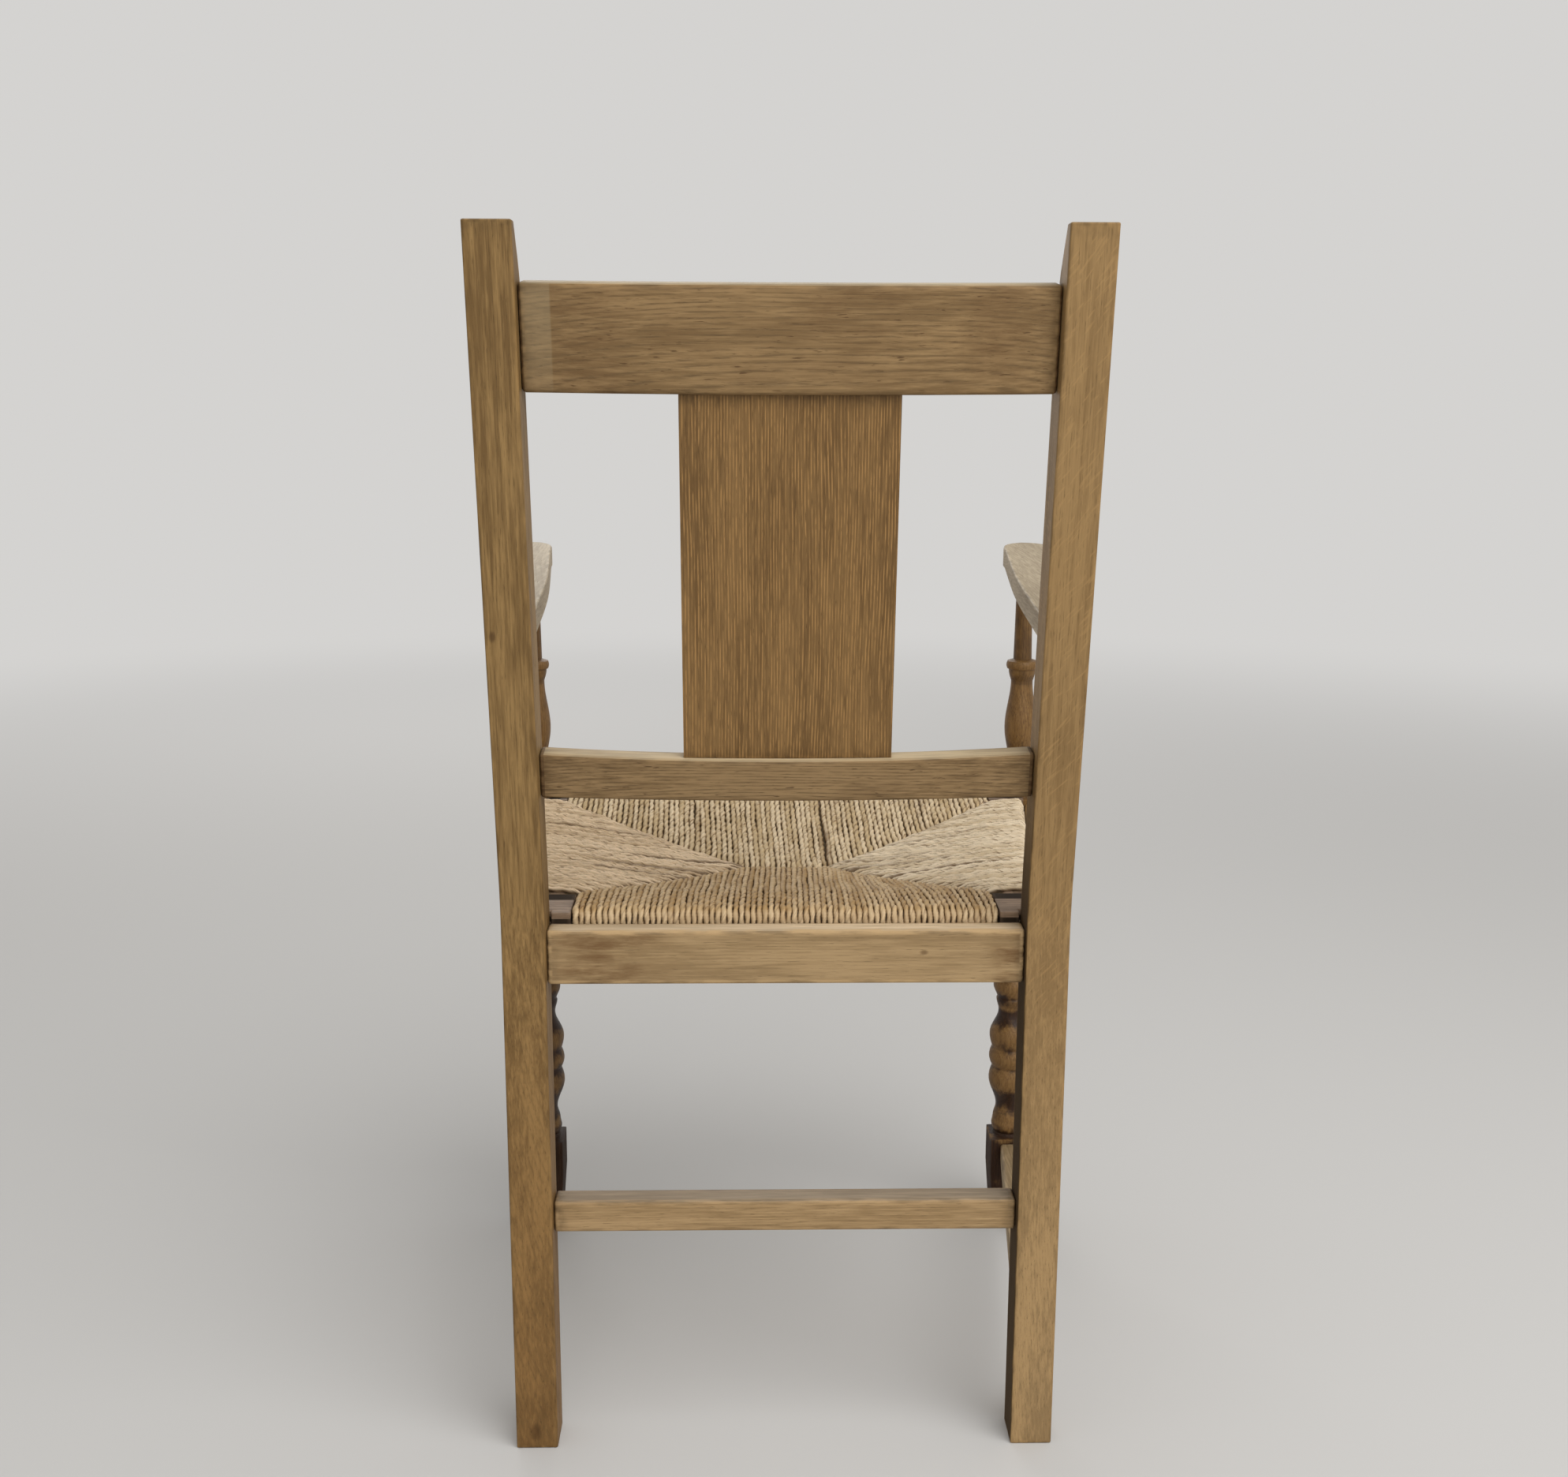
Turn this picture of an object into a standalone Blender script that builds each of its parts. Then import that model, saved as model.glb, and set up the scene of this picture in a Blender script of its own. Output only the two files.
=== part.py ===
"""Oak carver armchair with a loose rush seat.

Metres, +Z up, the front of the chair towards -Y. Left is the sitter's left, +X.
Plan depths are measured from the rear face of the rear posts at the floor, forwards negative,
and the whole chair then hangs from one empty that centres it over the origin.
"""
import math

import bmesh
import bpy
from mathutils import Matrix, Vector

# Fit between neighbouring pieces
CLEARANCE = 0.0003
SEAT_PLAY = 0.0015

# Rear posts: square in section, upright to the bend, raked above it
CHAIR_HEIGHT = 1.037
BACK_WIDTH = 0.475
POST_WIDTH = 0.0364
POST_DEPTH = 0.0368
BEND_HEIGHT = 0.492
BEND_LENGTH = 0.050
RAKE = 0.1555
POST_TOP_DEPTH = 0.013
POST_SCOOP = 0.060
POST_EDGE = 0.0015

# Back rails: bowed rearwards in plan, their faces set in from the posts' rear faces
BACK_RAIL_SET_IN = 0.012
TOP_RAIL_DROP = 0.0425
TOP_RAIL_HEIGHT = 0.0802
TOP_RAIL_THICK = 0.021
TOP_RAIL_BOW = 0.0095
TOP_RAIL_EDGE = 0.0030
LOWER_RAIL_TOP = 0.630
LOWER_RAIL_HEIGHT = 0.0378
LOWER_RAIL_THICK = 0.020
LOWER_RAIL_BOW = 0.009
LOWER_RAIL_DIP = 0.003
LOWER_RAIL_EDGE = 0.0020
BOW_STEPS = 12

# Splat: a plain flat board between the two back rails
SPLAT_WIDTH = 0.168
SPLAT_THICK = 0.011
SPLAT_SET_IN = 0.010
SPLAT_EDGE = 0.0012

# Seat rails of the frame, rebated inside for the loose seat
SEAT_RAIL_TOP = 0.4755
SEAT_RAIL_HEIGHT = 0.0472
SEAT_RAIL_THICK = 0.022
SEAT_RAIL_EDGE = 0.0025
REAR_RAIL_SET_IN = 0.008
FRONT_RAIL_SET_IN = 0.009
SIDE_RAIL_THICK = 0.018
SIDE_RAIL_SET_IN_REAR = 0.002
SIDE_RAIL_SET_IN_FRONT = 0.0005
SHELF_WIDTH = 0.010

# Front legs, each one piece from the floor to the arm: square blocks where rails and stretchers
# join, a square tapered foot, and turning between and above the blocks
LEG_BLOCK = 0.0432
LEG_BLANK = 0.0490
LEG_X = 0.2605
LEG_Y = -0.4225
FOOT_WIDTH = 0.0340
LOWER_BLOCK_BOTTOM = 0.065
LOWER_BLOCK_TOP = 0.105
LEG_MIDDLE = 0.280
UPPER_BLOCK_BOTTOM = 0.441
UPPER_BLOCK_TOP = 0.495
BLOCK_SHOULDER = 0.0012
TURNED_SIDES = 22

# Turned profile from the lower block up to the middle bead: share of that length, radius, shape
# of the run that ends there, steps in that run. Above the bead it runs the same way back.
LEG_HALF_PROFILE = (
    (0.000, 0.0172, "line", 1),
    (0.018, 0.0163, "line", 1),
    (0.068, 0.0189, "round", 3),
    (0.086, 0.0182, "line", 1),
    (0.112, 0.0175, "line", 1),
    (0.194, 0.0146, "swell", 3),
    (0.377, 0.0232, "swell", 5),
    (0.457, 0.0199, "round", 3),
    (0.523, 0.0234, "round", 3),
    (0.586, 0.0204, "round", 3),
    (0.669, 0.0234, "round", 3),
    (0.831, 0.0143, "swell", 5),
    (0.909, 0.0170, "swell", 2),
    (0.920, 0.0158, "line", 1),
    (0.945, 0.0176, "line", 1),
    (1.000, 0.0206, "round", 3),
)

# Turned arm support above the upper block: height above the block, radius, shape, steps
SUPPORT_PROFILE = (
    (0.000, 0.0172, "line", 1),
    (0.004, 0.0164, "line", 1),
    (0.012, 0.0178, "round", 3),
    (0.019, 0.0152, "round", 2),
    (0.034, 0.0116, "swell", 3),
    (0.076, 0.0170, "swell", 5),
    (0.126, 0.0115, "swell", 5),
    (0.138, 0.0142, "round", 2),
    (0.1390, 0.0160, "line", 1),
    (0.1430, 0.0169, "round", 2),
    (0.1470, 0.0158, "round", 2),
    (0.1490, 0.0097, "line", 1),
)
SUPPORT_TOP_RADIUS = 0.0081

# Arms: flat boards that rise and widen towards the front, sawn long and trimmed to the posts
ARM_TOP = 0.7415
ARM_RISE_SHARE = 0.0446
ARM_THICK = 0.021
ARM_EDGE = 0.0055
ARM_REAR_INNER = 0.2031
ARM_REAR_WIDTH = 0.0324
ARM_MIDDLE = 0.210
ARM_MIDDLE_INNER = 0.2172
ARM_MIDDLE_WIDTH = 0.0400
ARM_HAND = 0.425
ARM_HAND_INNER = 0.2390
ARM_HAND_WIDTH = 0.0570
ARM_REACH = 0.4805
ARM_TIP_SHARE = 0.49
ARM_TRIM = 0.012

# Stretchers
SIDE_STRETCHER_TOP = 0.100
SIDE_STRETCHER_HEIGHT = 0.020
SIDE_STRETCHER_THICK = 0.022
REAR_STRETCHER_TOP = 0.230
REAR_STRETCHER_HEIGHT = 0.0283
REAR_STRETCHER_THICK = 0.024
REAR_STRETCHER_SET_IN = 0.010
STRETCHER_EDGE = 0.0025

# Loose seat: corner blocks, hidden bars between them, and the rush wrapped round the bars
SEAT_RISE_SHARE = 0.038
SEAT_PROUD = 0.0085
SEAT_THICK = 0.023
REAR_BLOCK_INNER = 0.183
REAR_BLOCK_DEPTH = 0.0505
FRONT_BLOCK_INNER = 0.224
FRONT_BLOCK_DEPTH = 0.0215
SEAT_BLOCK_EDGE = 0.0012
SEAT_BAR_WIDTH = 0.024
SEAT_BAR_THICK = 0.0155
SEAT_BAR_EDGE = 0.0030
RUSH_STRAND = 0.0055
RUSH_PROUD = 0.0035
RUSH_ROUND = 0.009
RUSH_DISH = 0.0195
RUSH_BELLY = 0.0175
RUSH_CORNER_FALL = 0.0025
RUSH_BLOCK_GAP = 0.0015
RUSH_REAR_GAP = 0.010
RUSH_FRONT_GAP = 0.0025
RUSH_RIDGE = 0.0015
BRIDGE_DEPTH = 0.1970
BRIDGE_LEFT = 0.035
BRIDGE_RIGHT = 0.0445
RUSH_STEPS = 10
RUSH_RINGS = 5

# Corners sharper than this are edges, not rounds
SHARP = math.radians(35)

# Values worked out from the ones above
POST_X = BACK_WIDTH / 2 - POST_WIDTH / 2
POST_INNER = BACK_WIDTH / 2 - POST_WIDTH
TOP_RAIL_TOP = CHAIR_HEIGHT - TOP_RAIL_DROP
RAKE_ANGLE = math.atan(RAKE)
REAR_REACH = RAKE * (CHAIR_HEIGHT - BEND_HEIGHT)
CENTRE_SHIFT = (ARM_REACH - REAR_REACH) / 2
LEG_HALF = LEG_BLOCK / 2
LEG_CORNER = LEG_HALF * math.sqrt(2) * 1.02
ARM_FACE_Y = -POST_DEPTH + RAKE * (ARM_TOP - BEND_HEIGHT)
ARM_ANGLE = math.atan(ARM_RISE_SHARE)
SEAT_ANGLE = math.atan(SEAT_RISE_SHARE)
REAR_RAIL_FRONT = -(REAR_RAIL_SET_IN + SEAT_RAIL_THICK)
FRONT_RAIL_REAR = LEG_Y - LEG_HALF + FRONT_RAIL_SET_IN + SEAT_RAIL_THICK
SEAT_REAR_Y = REAR_RAIL_FRONT - SEAT_PLAY
SEAT_TOP = SEAT_RAIL_TOP + SEAT_PROUD
SEAT_DEPTH = (SEAT_REAR_Y - FRONT_RAIL_REAR - SEAT_PLAY) / math.cos(SEAT_ANGLE)
SIDE_RAIL_REAR_X = BACK_WIDTH / 2 - SIDE_RAIL_SET_IN_REAR - SIDE_RAIL_THICK
SIDE_RAIL_FRONT_X = LEG_X + LEG_HALF - SIDE_RAIL_SET_IN_FRONT - SIDE_RAIL_THICK
SIDE_REAR_Y = -POST_DEPTH
SIDE_FRONT_Y = LEG_Y + LEG_HALF
SIDE_SPLAY = (SIDE_RAIL_FRONT_X - SIDE_RAIL_REAR_X) / (SIDE_REAR_Y - SIDE_FRONT_Y)


def clear_scene():
    for old in list(bpy.data.objects):
        bpy.data.objects.remove(old, do_unlink=True)


def new_collection(name):
    collection = bpy.data.collections.new(name)
    bpy.context.scene.collection.children.link(collection)
    return collection


def finish_material(name, colour, roughness):
    material = bpy.data.materials.new(name)
    material.use_nodes = True
    shader = material.node_tree.nodes["Principled BSDF"]
    shader.inputs["Base Color"].default_value = (*colour, 1.0)
    shader.inputs["Roughness"].default_value = roughness
    shader.inputs["Metallic"].default_value = 0.0
    return material


def empty(name, parent, location=(0, 0, 0), angle=0.0):
    """A holder that its pieces hang from, turned about X."""
    holder = bpy.data.objects.new(name, None)
    PARTS.objects.link(holder)
    holder.parent = parent
    holder.location = location
    holder.rotation_euler = (angle, 0, 0)
    return holder


def place(name, mesh, parent, colour, roughness, location=(0, 0, 0), rotation=(0, 0, 0), edge=0.0):
    """One named piece with its own material and, if wanted, eased edges."""
    piece = bpy.data.objects.new(name, mesh)
    PARTS.objects.link(piece)
    piece.parent = parent
    piece.location = location
    piece.rotation_euler = rotation
    material = finish_material(name, colour, roughness)
    if mesh.materials:
        piece.material_slots[0].link = "OBJECT"
        piece.material_slots[0].material = material
    else:
        mesh.materials.append(material)
    if edge:
        ease_edges(piece, edge)
    return piece


def ease_edges(piece, width, segments=2, only_marked=True):
    bevel = piece.modifiers.new("eased edges", "BEVEL")
    bevel.width = width
    bevel.segments = segments
    bevel.limit_method = "WEIGHT" if only_marked else "ANGLE"
    bevel.angle_limit = SHARP


def mark_corners(work):
    """Marks the corners that stand out, which are the ones that a plane and sandpaper ease."""
    mark = work.edges.layers.float.new("bevel_weight_edge")
    for edge in work.edges:
        if edge.is_manifold and edge.is_convex and edge.calc_face_angle() > SHARP:
            edge[mark] = 1.0


def mesh_from(work, name):
    """Turns the working geometry into a mesh with its faces outward and its rounds smooth."""
    bmesh.ops.recalc_face_normals(work, faces=work.faces)
    mark_corners(work)
    mesh = bpy.data.meshes.new(name)
    work.to_mesh(mesh)
    work.free()
    mesh.shade_smooth()
    mesh.set_sharp_from_angle(angle=SHARP)
    return mesh


def box(name, size, cuts=0):
    """A box about its own centre, its long edges along X cut into equal runs."""
    work = bmesh.new()
    bmesh.ops.create_cube(work, size=1.0)
    bmesh.ops.scale(work, vec=size, verts=work.verts)
    if cuts:
        along = [e for e in work.edges if abs(e.verts[0].co.x - e.verts[1].co.x) > size[0] / 2]
        bmesh.ops.subdivide_edges(work, edges=along, cuts=cuts)
    return work


def evaluated_mesh(piece):
    """The piece's mesh with its modifiers, and the piece taken away."""
    bpy.context.view_layer.update()
    graph = bpy.context.evaluated_depsgraph_get()
    mesh = bpy.data.meshes.new_from_object(piece.evaluated_get(graph))
    data = piece.data
    bpy.data.objects.remove(piece, do_unlink=True)
    if isinstance(data, bpy.types.Curve):
        bpy.data.curves.remove(data)
    else:
        bpy.data.meshes.remove(data)
    return mesh


def prism(points, thickness, edge=0.0, segments=2):
    """A flat outline with thickness, centred on the outline's plane, as working geometry."""
    outline = bpy.data.curves.new("outline", "CURVE")
    outline.dimensions = "2D"
    outline.fill_mode = "BOTH"
    outline.extrude = thickness / 2
    spline = outline.splines.new("POLY")
    spline.points.add(len(points) - 1)
    for point, (x, y) in zip(spline.points, points):
        point.co = (x, y, 0, 1)
    spline.use_cyclic_u = True
    piece = bpy.data.objects.new("outline", outline)
    WORK.objects.link(piece)
    weld = piece.modifiers.new("weld", "WELD")
    weld.merge_threshold = 0.00001
    if edge:
        ease_edges(piece, edge, segments, only_marked=False)
    mesh = evaluated_mesh(piece)
    work = bmesh.new()
    work.from_mesh(mesh)
    bpy.data.meshes.remove(mesh)
    bmesh.ops.remove_doubles(work, verts=work.verts, dist=0.00001)
    return work


def cut_plane(work, point, normal):
    """Saws off what lies past a plane and closes the cut."""
    everything = work.verts[:] + work.edges[:] + work.faces[:]
    bmesh.ops.bisect_plane(work, geom=everything, plane_co=point, plane_no=normal, clear_outer=True)
    rim = [e for e in work.edges if e.is_boundary]
    bmesh.ops.holes_fill(work, edges=rim, sides=0)


def lerp(start, end, share):
    return start + (end - start) * share


def rake_depth(z):
    """How far the rear face of a post has moved rearwards at a height."""
    run_in = BEND_LENGTH / 2
    above = z - BEND_HEIGHT
    if above <= -run_in:
        return 0.0
    if above >= run_in:
        return RAKE * above
    return RAKE * (above + run_in) ** 2 / (4 * run_in)


def seat_plane(y, below):
    """Height of the plane that lies a given thickness below the top of the loose seat's blocks."""
    return SEAT_TOP + SEAT_RISE_SHARE * (SEAT_REAR_Y - y) - below / math.cos(SEAT_ANGLE)


def rear_posts(chair):
    bend = [BEND_HEIGHT + BEND_LENGTH * (i / 4 - 0.5) for i in range(5)]
    rear = [(0.0, 0.0)] + [(rake_depth(z), z) for z in bend]
    rear.append((REAR_REACH, CHAIR_HEIGHT))
    scoop = []
    for i in range(7):
        share = i / 6
        z = CHAIR_HEIGHT - POST_SCOOP * share
        depth = lerp(POST_TOP_DEPTH, POST_DEPTH, math.sin(math.pi / 2 * share))
        scoop.append((rake_depth(z) - depth, z))
    front = [(rake_depth(z) - POST_DEPTH, z) for z in reversed(bend)] + [(-POST_DEPTH, 0.0)]
    mesh = mesh_from(prism(rear + scoop + front, POST_WIDTH), "rear_post")
    upright = (math.pi / 2, 0, math.pi / 2)
    left = (0.170, 0.105, 0.052)
    right = (0.330, 0.205, 0.105)
    place("rear_post_left", mesh, chair, left, 0.5, (POST_X, 0, 0), upright, POST_EDGE)
    place("rear_post_right", mesh, chair, right, 0.5, (-POST_X, 0, 0), upright, POST_EDGE)


def bowed(x, amount):
    """Offset of a curve that is nothing at the posts and the full amount in the middle."""
    return amount * (1 - (x / POST_INNER) ** 2)


def back_rail(name, holder, top, height, thick, bow, dip, edge, colour):
    """A rail between the posts, its top given as the height of its rear edge at the ends."""
    work = box(name, (2 * (POST_INNER - CLEARANCE), thick, height), BOW_STEPS - 1)
    for vert in work.verts:
        if vert.co.z > 0:
            vert.co.z -= bowed(vert.co.x, dip)
        vert.co.y += bowed(vert.co.x, bow)
    centre = (0, -BACK_RAIL_SET_IN - thick / 2, along_rake(top) - height / 2)
    place(name, mesh_from(work, name), holder, colour, 0.5, centre, (0, 0, 0), edge)


def along_rake(z):
    """Distance up the raked back of a point at a height on the back rails' rear faces."""
    return (z - BEND_HEIGHT - BACK_RAIL_SET_IN * math.sin(RAKE_ANGLE)) / math.cos(RAKE_ANGLE)


def back(chair):
    holder = empty("raked_back", chair, (0, 0, BEND_HEIGHT), -RAKE_ANGLE)
    back_rail("top_rail", holder, TOP_RAIL_TOP, TOP_RAIL_HEIGHT, TOP_RAIL_THICK, TOP_RAIL_BOW,
              0.0, TOP_RAIL_EDGE, (0.245, 0.150, 0.075))
    back_rail("lower_back_rail", holder, LOWER_RAIL_TOP, LOWER_RAIL_HEIGHT, LOWER_RAIL_THICK,
              LOWER_RAIL_BOW, LOWER_RAIL_DIP, LOWER_RAIL_EDGE, (0.240, 0.150, 0.078))
    upper = along_rake(TOP_RAIL_TOP) - TOP_RAIL_HEIGHT - CLEARANCE
    lower = along_rake(LOWER_RAIL_TOP) + CLEARANCE
    half = SPLAT_WIDTH / 2
    foot = [(half * (i / 3 - 1), lower - bowed(half * (i / 3 - 1), LOWER_RAIL_DIP)) for i in range(7)]
    work = prism(foot + [(half, upper), (-half, upper)], SPLAT_THICK)
    depth = -SPLAT_SET_IN - SPLAT_THICK / 2
    place("back_splat", mesh_from(work, "back_splat"), holder, (0.215, 0.130, 0.062), 0.48,
          (0, depth, 0), (math.pi / 2, 0, 0), SPLAT_EDGE)


def cross_seat_rails(chair):
    """The rear and front seat rails: L sections along X, the step inside for the loose seat."""
    along = (math.pi / 2, 0, math.pi / 2)
    colour = (0.330, 0.205, 0.105)
    rear_top = SEAT_RAIL_TOP
    bottom = rear_top - SEAT_RAIL_HEIGHT
    inner = REAR_RAIL_FRONT - SHELF_WIDTH
    rear = [(-REAR_RAIL_SET_IN, bottom), (-REAR_RAIL_SET_IN, rear_top), (REAR_RAIL_FRONT, rear_top),
            (REAR_RAIL_FRONT, seat_plane(REAR_RAIL_FRONT, SEAT_THICK + CLEARANCE)),
            (inner, seat_plane(inner, SEAT_THICK + CLEARANCE)), (inner, bottom)]
    work = prism(rear, 2 * (POST_INNER - CLEARANCE))
    place("rear_seat_rail", mesh_from(work, "rear_seat_rail"), chair, colour, 0.45,
          (0, 0, 0), along, SEAT_RAIL_EDGE)
    front_top = side_rail_top(SIDE_FRONT_Y)
    bottom = front_top - SEAT_RAIL_HEIGHT
    inner = FRONT_RAIL_REAR + SHELF_WIDTH
    outer = FRONT_RAIL_REAR - SEAT_RAIL_THICK
    front = [(outer, bottom), (outer, front_top), (FRONT_RAIL_REAR, front_top),
             (FRONT_RAIL_REAR, seat_plane(FRONT_RAIL_REAR, SEAT_THICK + CLEARANCE)),
             (inner, seat_plane(inner, SEAT_THICK + CLEARANCE)), (inner, bottom)]
    work = prism(front, 2 * (LEG_X - LEG_HALF - CLEARANCE))
    place("front_seat_rail", mesh_from(work, "front_seat_rail"), chair, colour, 0.45,
          (0, 0, 0), along, SEAT_RAIL_EDGE)


def side_rail_top(y):
    return SEAT_RAIL_TOP + SEAT_RISE_SHARE * (-REAR_RAIL_SET_IN - y)


def side_rail_inner(y):
    """Inner face of a side seat rail's upstand, which the loose seat's edge follows."""
    return SIDE_RAIL_REAR_X + SIDE_SPLAY * (SIDE_REAR_Y - y)


def side_seat_rail(chair, side, name):
    """An L section run forwards from the post to the leg, splayed in plan and rising."""
    rear = SIDE_REAR_Y - CLEARANCE
    front = SIDE_FRONT_Y + CLEARANCE
    inner = SIDE_RAIL_REAR_X
    shelf = seat_plane(SIDE_REAR_Y, SEAT_THICK + CLEARANCE)
    top = side_rail_top(SIDE_REAR_Y)
    bottom = top - SEAT_RAIL_HEIGHT
    section = [(inner - SHELF_WIDTH, bottom), (inner + SIDE_RAIL_THICK, bottom),
               (inner + SIDE_RAIL_THICK, top), (inner, top), (inner, shelf),
               (inner - SHELF_WIDTH, shelf)]
    work = prism([(side * x, z) for x, z in section], rear - front)
    middle = (rear + front) / 2
    for vert in work.verts:
        x, z, y = vert.co.x, vert.co.y, middle - vert.co.z
        ahead = SIDE_REAR_Y - y
        vert.co = (x + side * SIDE_SPLAY * ahead, y, z + SEAT_RISE_SHARE * ahead)
    place(name, mesh_from(work, name), chair, (0.250, 0.155, 0.080), 0.5, edge=SEAT_RAIL_EDGE)


def turned_points(stations, start, length):
    """Points of a turned profile; each run is straight, an S curve, or a quarter round."""
    points = []
    for share, radius, shape, steps in stations:
        z = start + length * share
        if not points:
            points.append((z, radius))
            continue
        last_z, last = points[-1]
        for i in range(1, steps + 1):
            part = i / steps
            if shape == "swell":
                grown = (1 - math.cos(math.pi * part)) / 2
            elif shape == "round" and radius > last:
                grown = math.sin(math.pi / 2 * part)
            elif shape == "round":
                grown = 1 - math.cos(math.pi / 2 * part)
            else:
                grown = part
            points.append((lerp(last_z, z, part), lerp(last, radius, grown)))
    return points


def arm_underside(y):
    return ARM_TOP + ARM_RISE_SHARE * (ARM_FACE_Y - y) - ARM_THICK / math.cos(ARM_ANGLE)


def leg_profile():
    """Height and radius up the whole leg; over the square lengths it clears their corners."""
    lower = turned_points(LEG_HALF_PROFILE, LOWER_BLOCK_TOP, LEG_MIDDLE - LOWER_BLOCK_TOP)
    upper = turned_points(LEG_HALF_PROFILE, UPPER_BLOCK_BOTTOM, LEG_MIDDLE - UPPER_BLOCK_BOTTOM)
    foot = [(0.0, LEG_CORNER), (LOWER_BLOCK_TOP - BLOCK_SHOULDER, LEG_CORNER)]
    upper_block = [(UPPER_BLOCK_BOTTOM + BLOCK_SHOULDER, LEG_CORNER),
                   (UPPER_BLOCK_TOP - BLOCK_SHOULDER, LEG_CORNER)]
    support = turned_points(SUPPORT_PROFILE, UPPER_BLOCK_TOP, 1.0)
    end = arm_underside(LEG_Y - LEG_HALF)
    return foot + lower + upper[-2::-1] + upper_block + support + [(end, SUPPORT_TOP_RADIUS)]


def blank_profile(top):
    """Height and half width of the squared blank, planed down over the foot and the blocks."""
    rough = LEG_BLANK / 2
    return [(0.0, FOOT_WIDTH / 2), (LOWER_BLOCK_BOTTOM, LEG_HALF), (LOWER_BLOCK_TOP, LEG_HALF),
            (LOWER_BLOCK_TOP, rough), (UPPER_BLOCK_BOTTOM, rough), (UPPER_BLOCK_BOTTOM, LEG_HALF),
            (UPPER_BLOCK_TOP, LEG_HALF), (UPPER_BLOCK_TOP, rough), (top, rough)]


def turned_solid(profile, sides):
    """A profile of heights and radii turned about Z into a closed solid."""
    line = bmesh.new()
    on_axis = [(profile[-1][0], 0.0)] + profile[::-1] + [(profile[0][0], 0.0)]
    verts = [line.verts.new((radius, 0, z)) for z, radius in on_axis]
    for first, second in zip(verts, verts[1:]):
        line.edges.new((first, second))
    mesh = bpy.data.meshes.new("profile")
    line.to_mesh(mesh)
    line.free()
    piece = bpy.data.objects.new("turning", mesh)
    WORK.objects.link(piece)
    screw = piece.modifiers.new("turned", "SCREW")
    screw.steps = sides
    screw.render_steps = sides
    screw.use_merge_vertices = True
    screw.merge_threshold = 0.00001
    solid = bpy.data.objects.new("turned", evaluated_mesh(piece))
    WORK.objects.link(solid)
    return solid


def front_leg_mesh():
    """The squared blank with everything outside the turned profile taken away."""
    profile = leg_profile()
    turned = turned_solid(profile, TURNED_SIDES)
    turned.hide_render = True
    turned.display_type = "WIRE"
    corners = [(z, half * math.sqrt(2)) for z, half in blank_profile(profile[-1][0] + LEG_BLOCK)]
    leg = turned_solid(corners, 4)
    leg.data.transform(Matrix.Rotation(math.pi / 4, 4, "Z"))
    shape = leg.modifiers.new("turned away", "BOOLEAN")
    shape.operation = "INTERSECT"
    shape.solver = "EXACT"
    shape.object = turned
    mesh = evaluated_mesh(leg)
    bpy.data.objects.remove(turned, do_unlink=True)
    work = bmesh.new()
    work.from_mesh(mesh)
    slope = Vector((0, math.sin(ARM_ANGLE), math.cos(ARM_ANGLE)))
    cut_plane(work, Vector((0, 0, arm_underside(LEG_Y))) - CLEARANCE * slope, slope)
    return mesh_from(work, "front_leg")


def front_legs(chair):
    mesh = front_leg_mesh()
    colour = (0.150, 0.085, 0.045)
    place("front_leg_left", mesh, chair, colour, 0.45, (LEG_X, LEG_Y, 0))
    place("front_leg_right", mesh, chair, colour, 0.45, (-LEG_X, LEG_Y, 0))


def smooth_line(points, steps):
    """A smooth curve through a few points, by the Catmull-Rom rule."""
    ends = [2 * points[0] - points[1]] + points + [2 * points[-1] - points[-2]]
    curve = [points[0]]
    for p0, p1, p2, p3 in zip(ends, ends[1:], ends[2:], ends[3:]):
        for i in range(1, steps + 1):
            t = i / steps
            curve.append(0.5 * (2 * p1 + (p2 - p0) * t + (2 * p0 - 5 * p1 + 4 * p2 - p3) * t * t
                                + (3 * p1 - p0 - 3 * p2 + p3) * t ** 3))
    return curve


def arm(chair, side, name):
    """Outline in plan, from the post forwards along the inner edge and back along the outer one."""
    inner = [Vector((ARM_REAR_INNER, ARM_TRIM)), Vector((ARM_MIDDLE_INNER, -ARM_MIDDLE)),
             Vector((ARM_HAND_INNER, -ARM_HAND))]
    outer = [Vector((ARM_HAND_INNER + ARM_HAND_WIDTH, -ARM_HAND)),
             Vector((ARM_MIDDLE_INNER + ARM_MIDDLE_WIDTH, -ARM_MIDDLE)),
             Vector((ARM_REAR_INNER + ARM_REAR_WIDTH, ARM_TRIM))]
    tip = ARM_HAND_INNER + ARM_HAND_WIDTH * ARM_TIP_SHARE
    reach = ARM_REACH - ARM_HAND
    nose = []
    for i in range(1, 12):
        turn = math.pi * i / 12
        half = tip - ARM_HAND_INNER if turn < math.pi / 2 else ARM_HAND_INNER + ARM_HAND_WIDTH - tip
        nose.append(Vector((tip - half * math.cos(turn), -ARM_HAND - reach * math.sin(turn) ** 0.85)))
    outline = smooth_line(inner, 6) + nose + smooth_line(outer, 6)
    # The outline is drawn in the chair's plan; the arm's own plane slopes, so its depths stretch
    stretch = 1 / math.cos(ARM_ANGLE)
    drawn = [(side * p.x, (p.y - ARM_FACE_Y) * stretch) for p in outline]
    work = prism(drawn, ARM_THICK, ARM_EDGE, 3)
    tilt = Matrix.Rotation(-ARM_ANGLE, 4, "X")
    drop = Matrix.Translation((0, 0, -ARM_THICK / 2))
    bmesh.ops.transform(work, matrix=tilt @ drop, verts=work.verts)
    rear_face = Vector((0, math.cos(RAKE_ANGLE), -math.sin(RAKE_ANGLE)))
    cut_plane(work, -CLEARANCE * rear_face, rear_face)
    place(name, mesh_from(work, name), chair, (0.420, 0.330, 0.225), 0.5, (0, ARM_FACE_Y, ARM_TOP))


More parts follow.
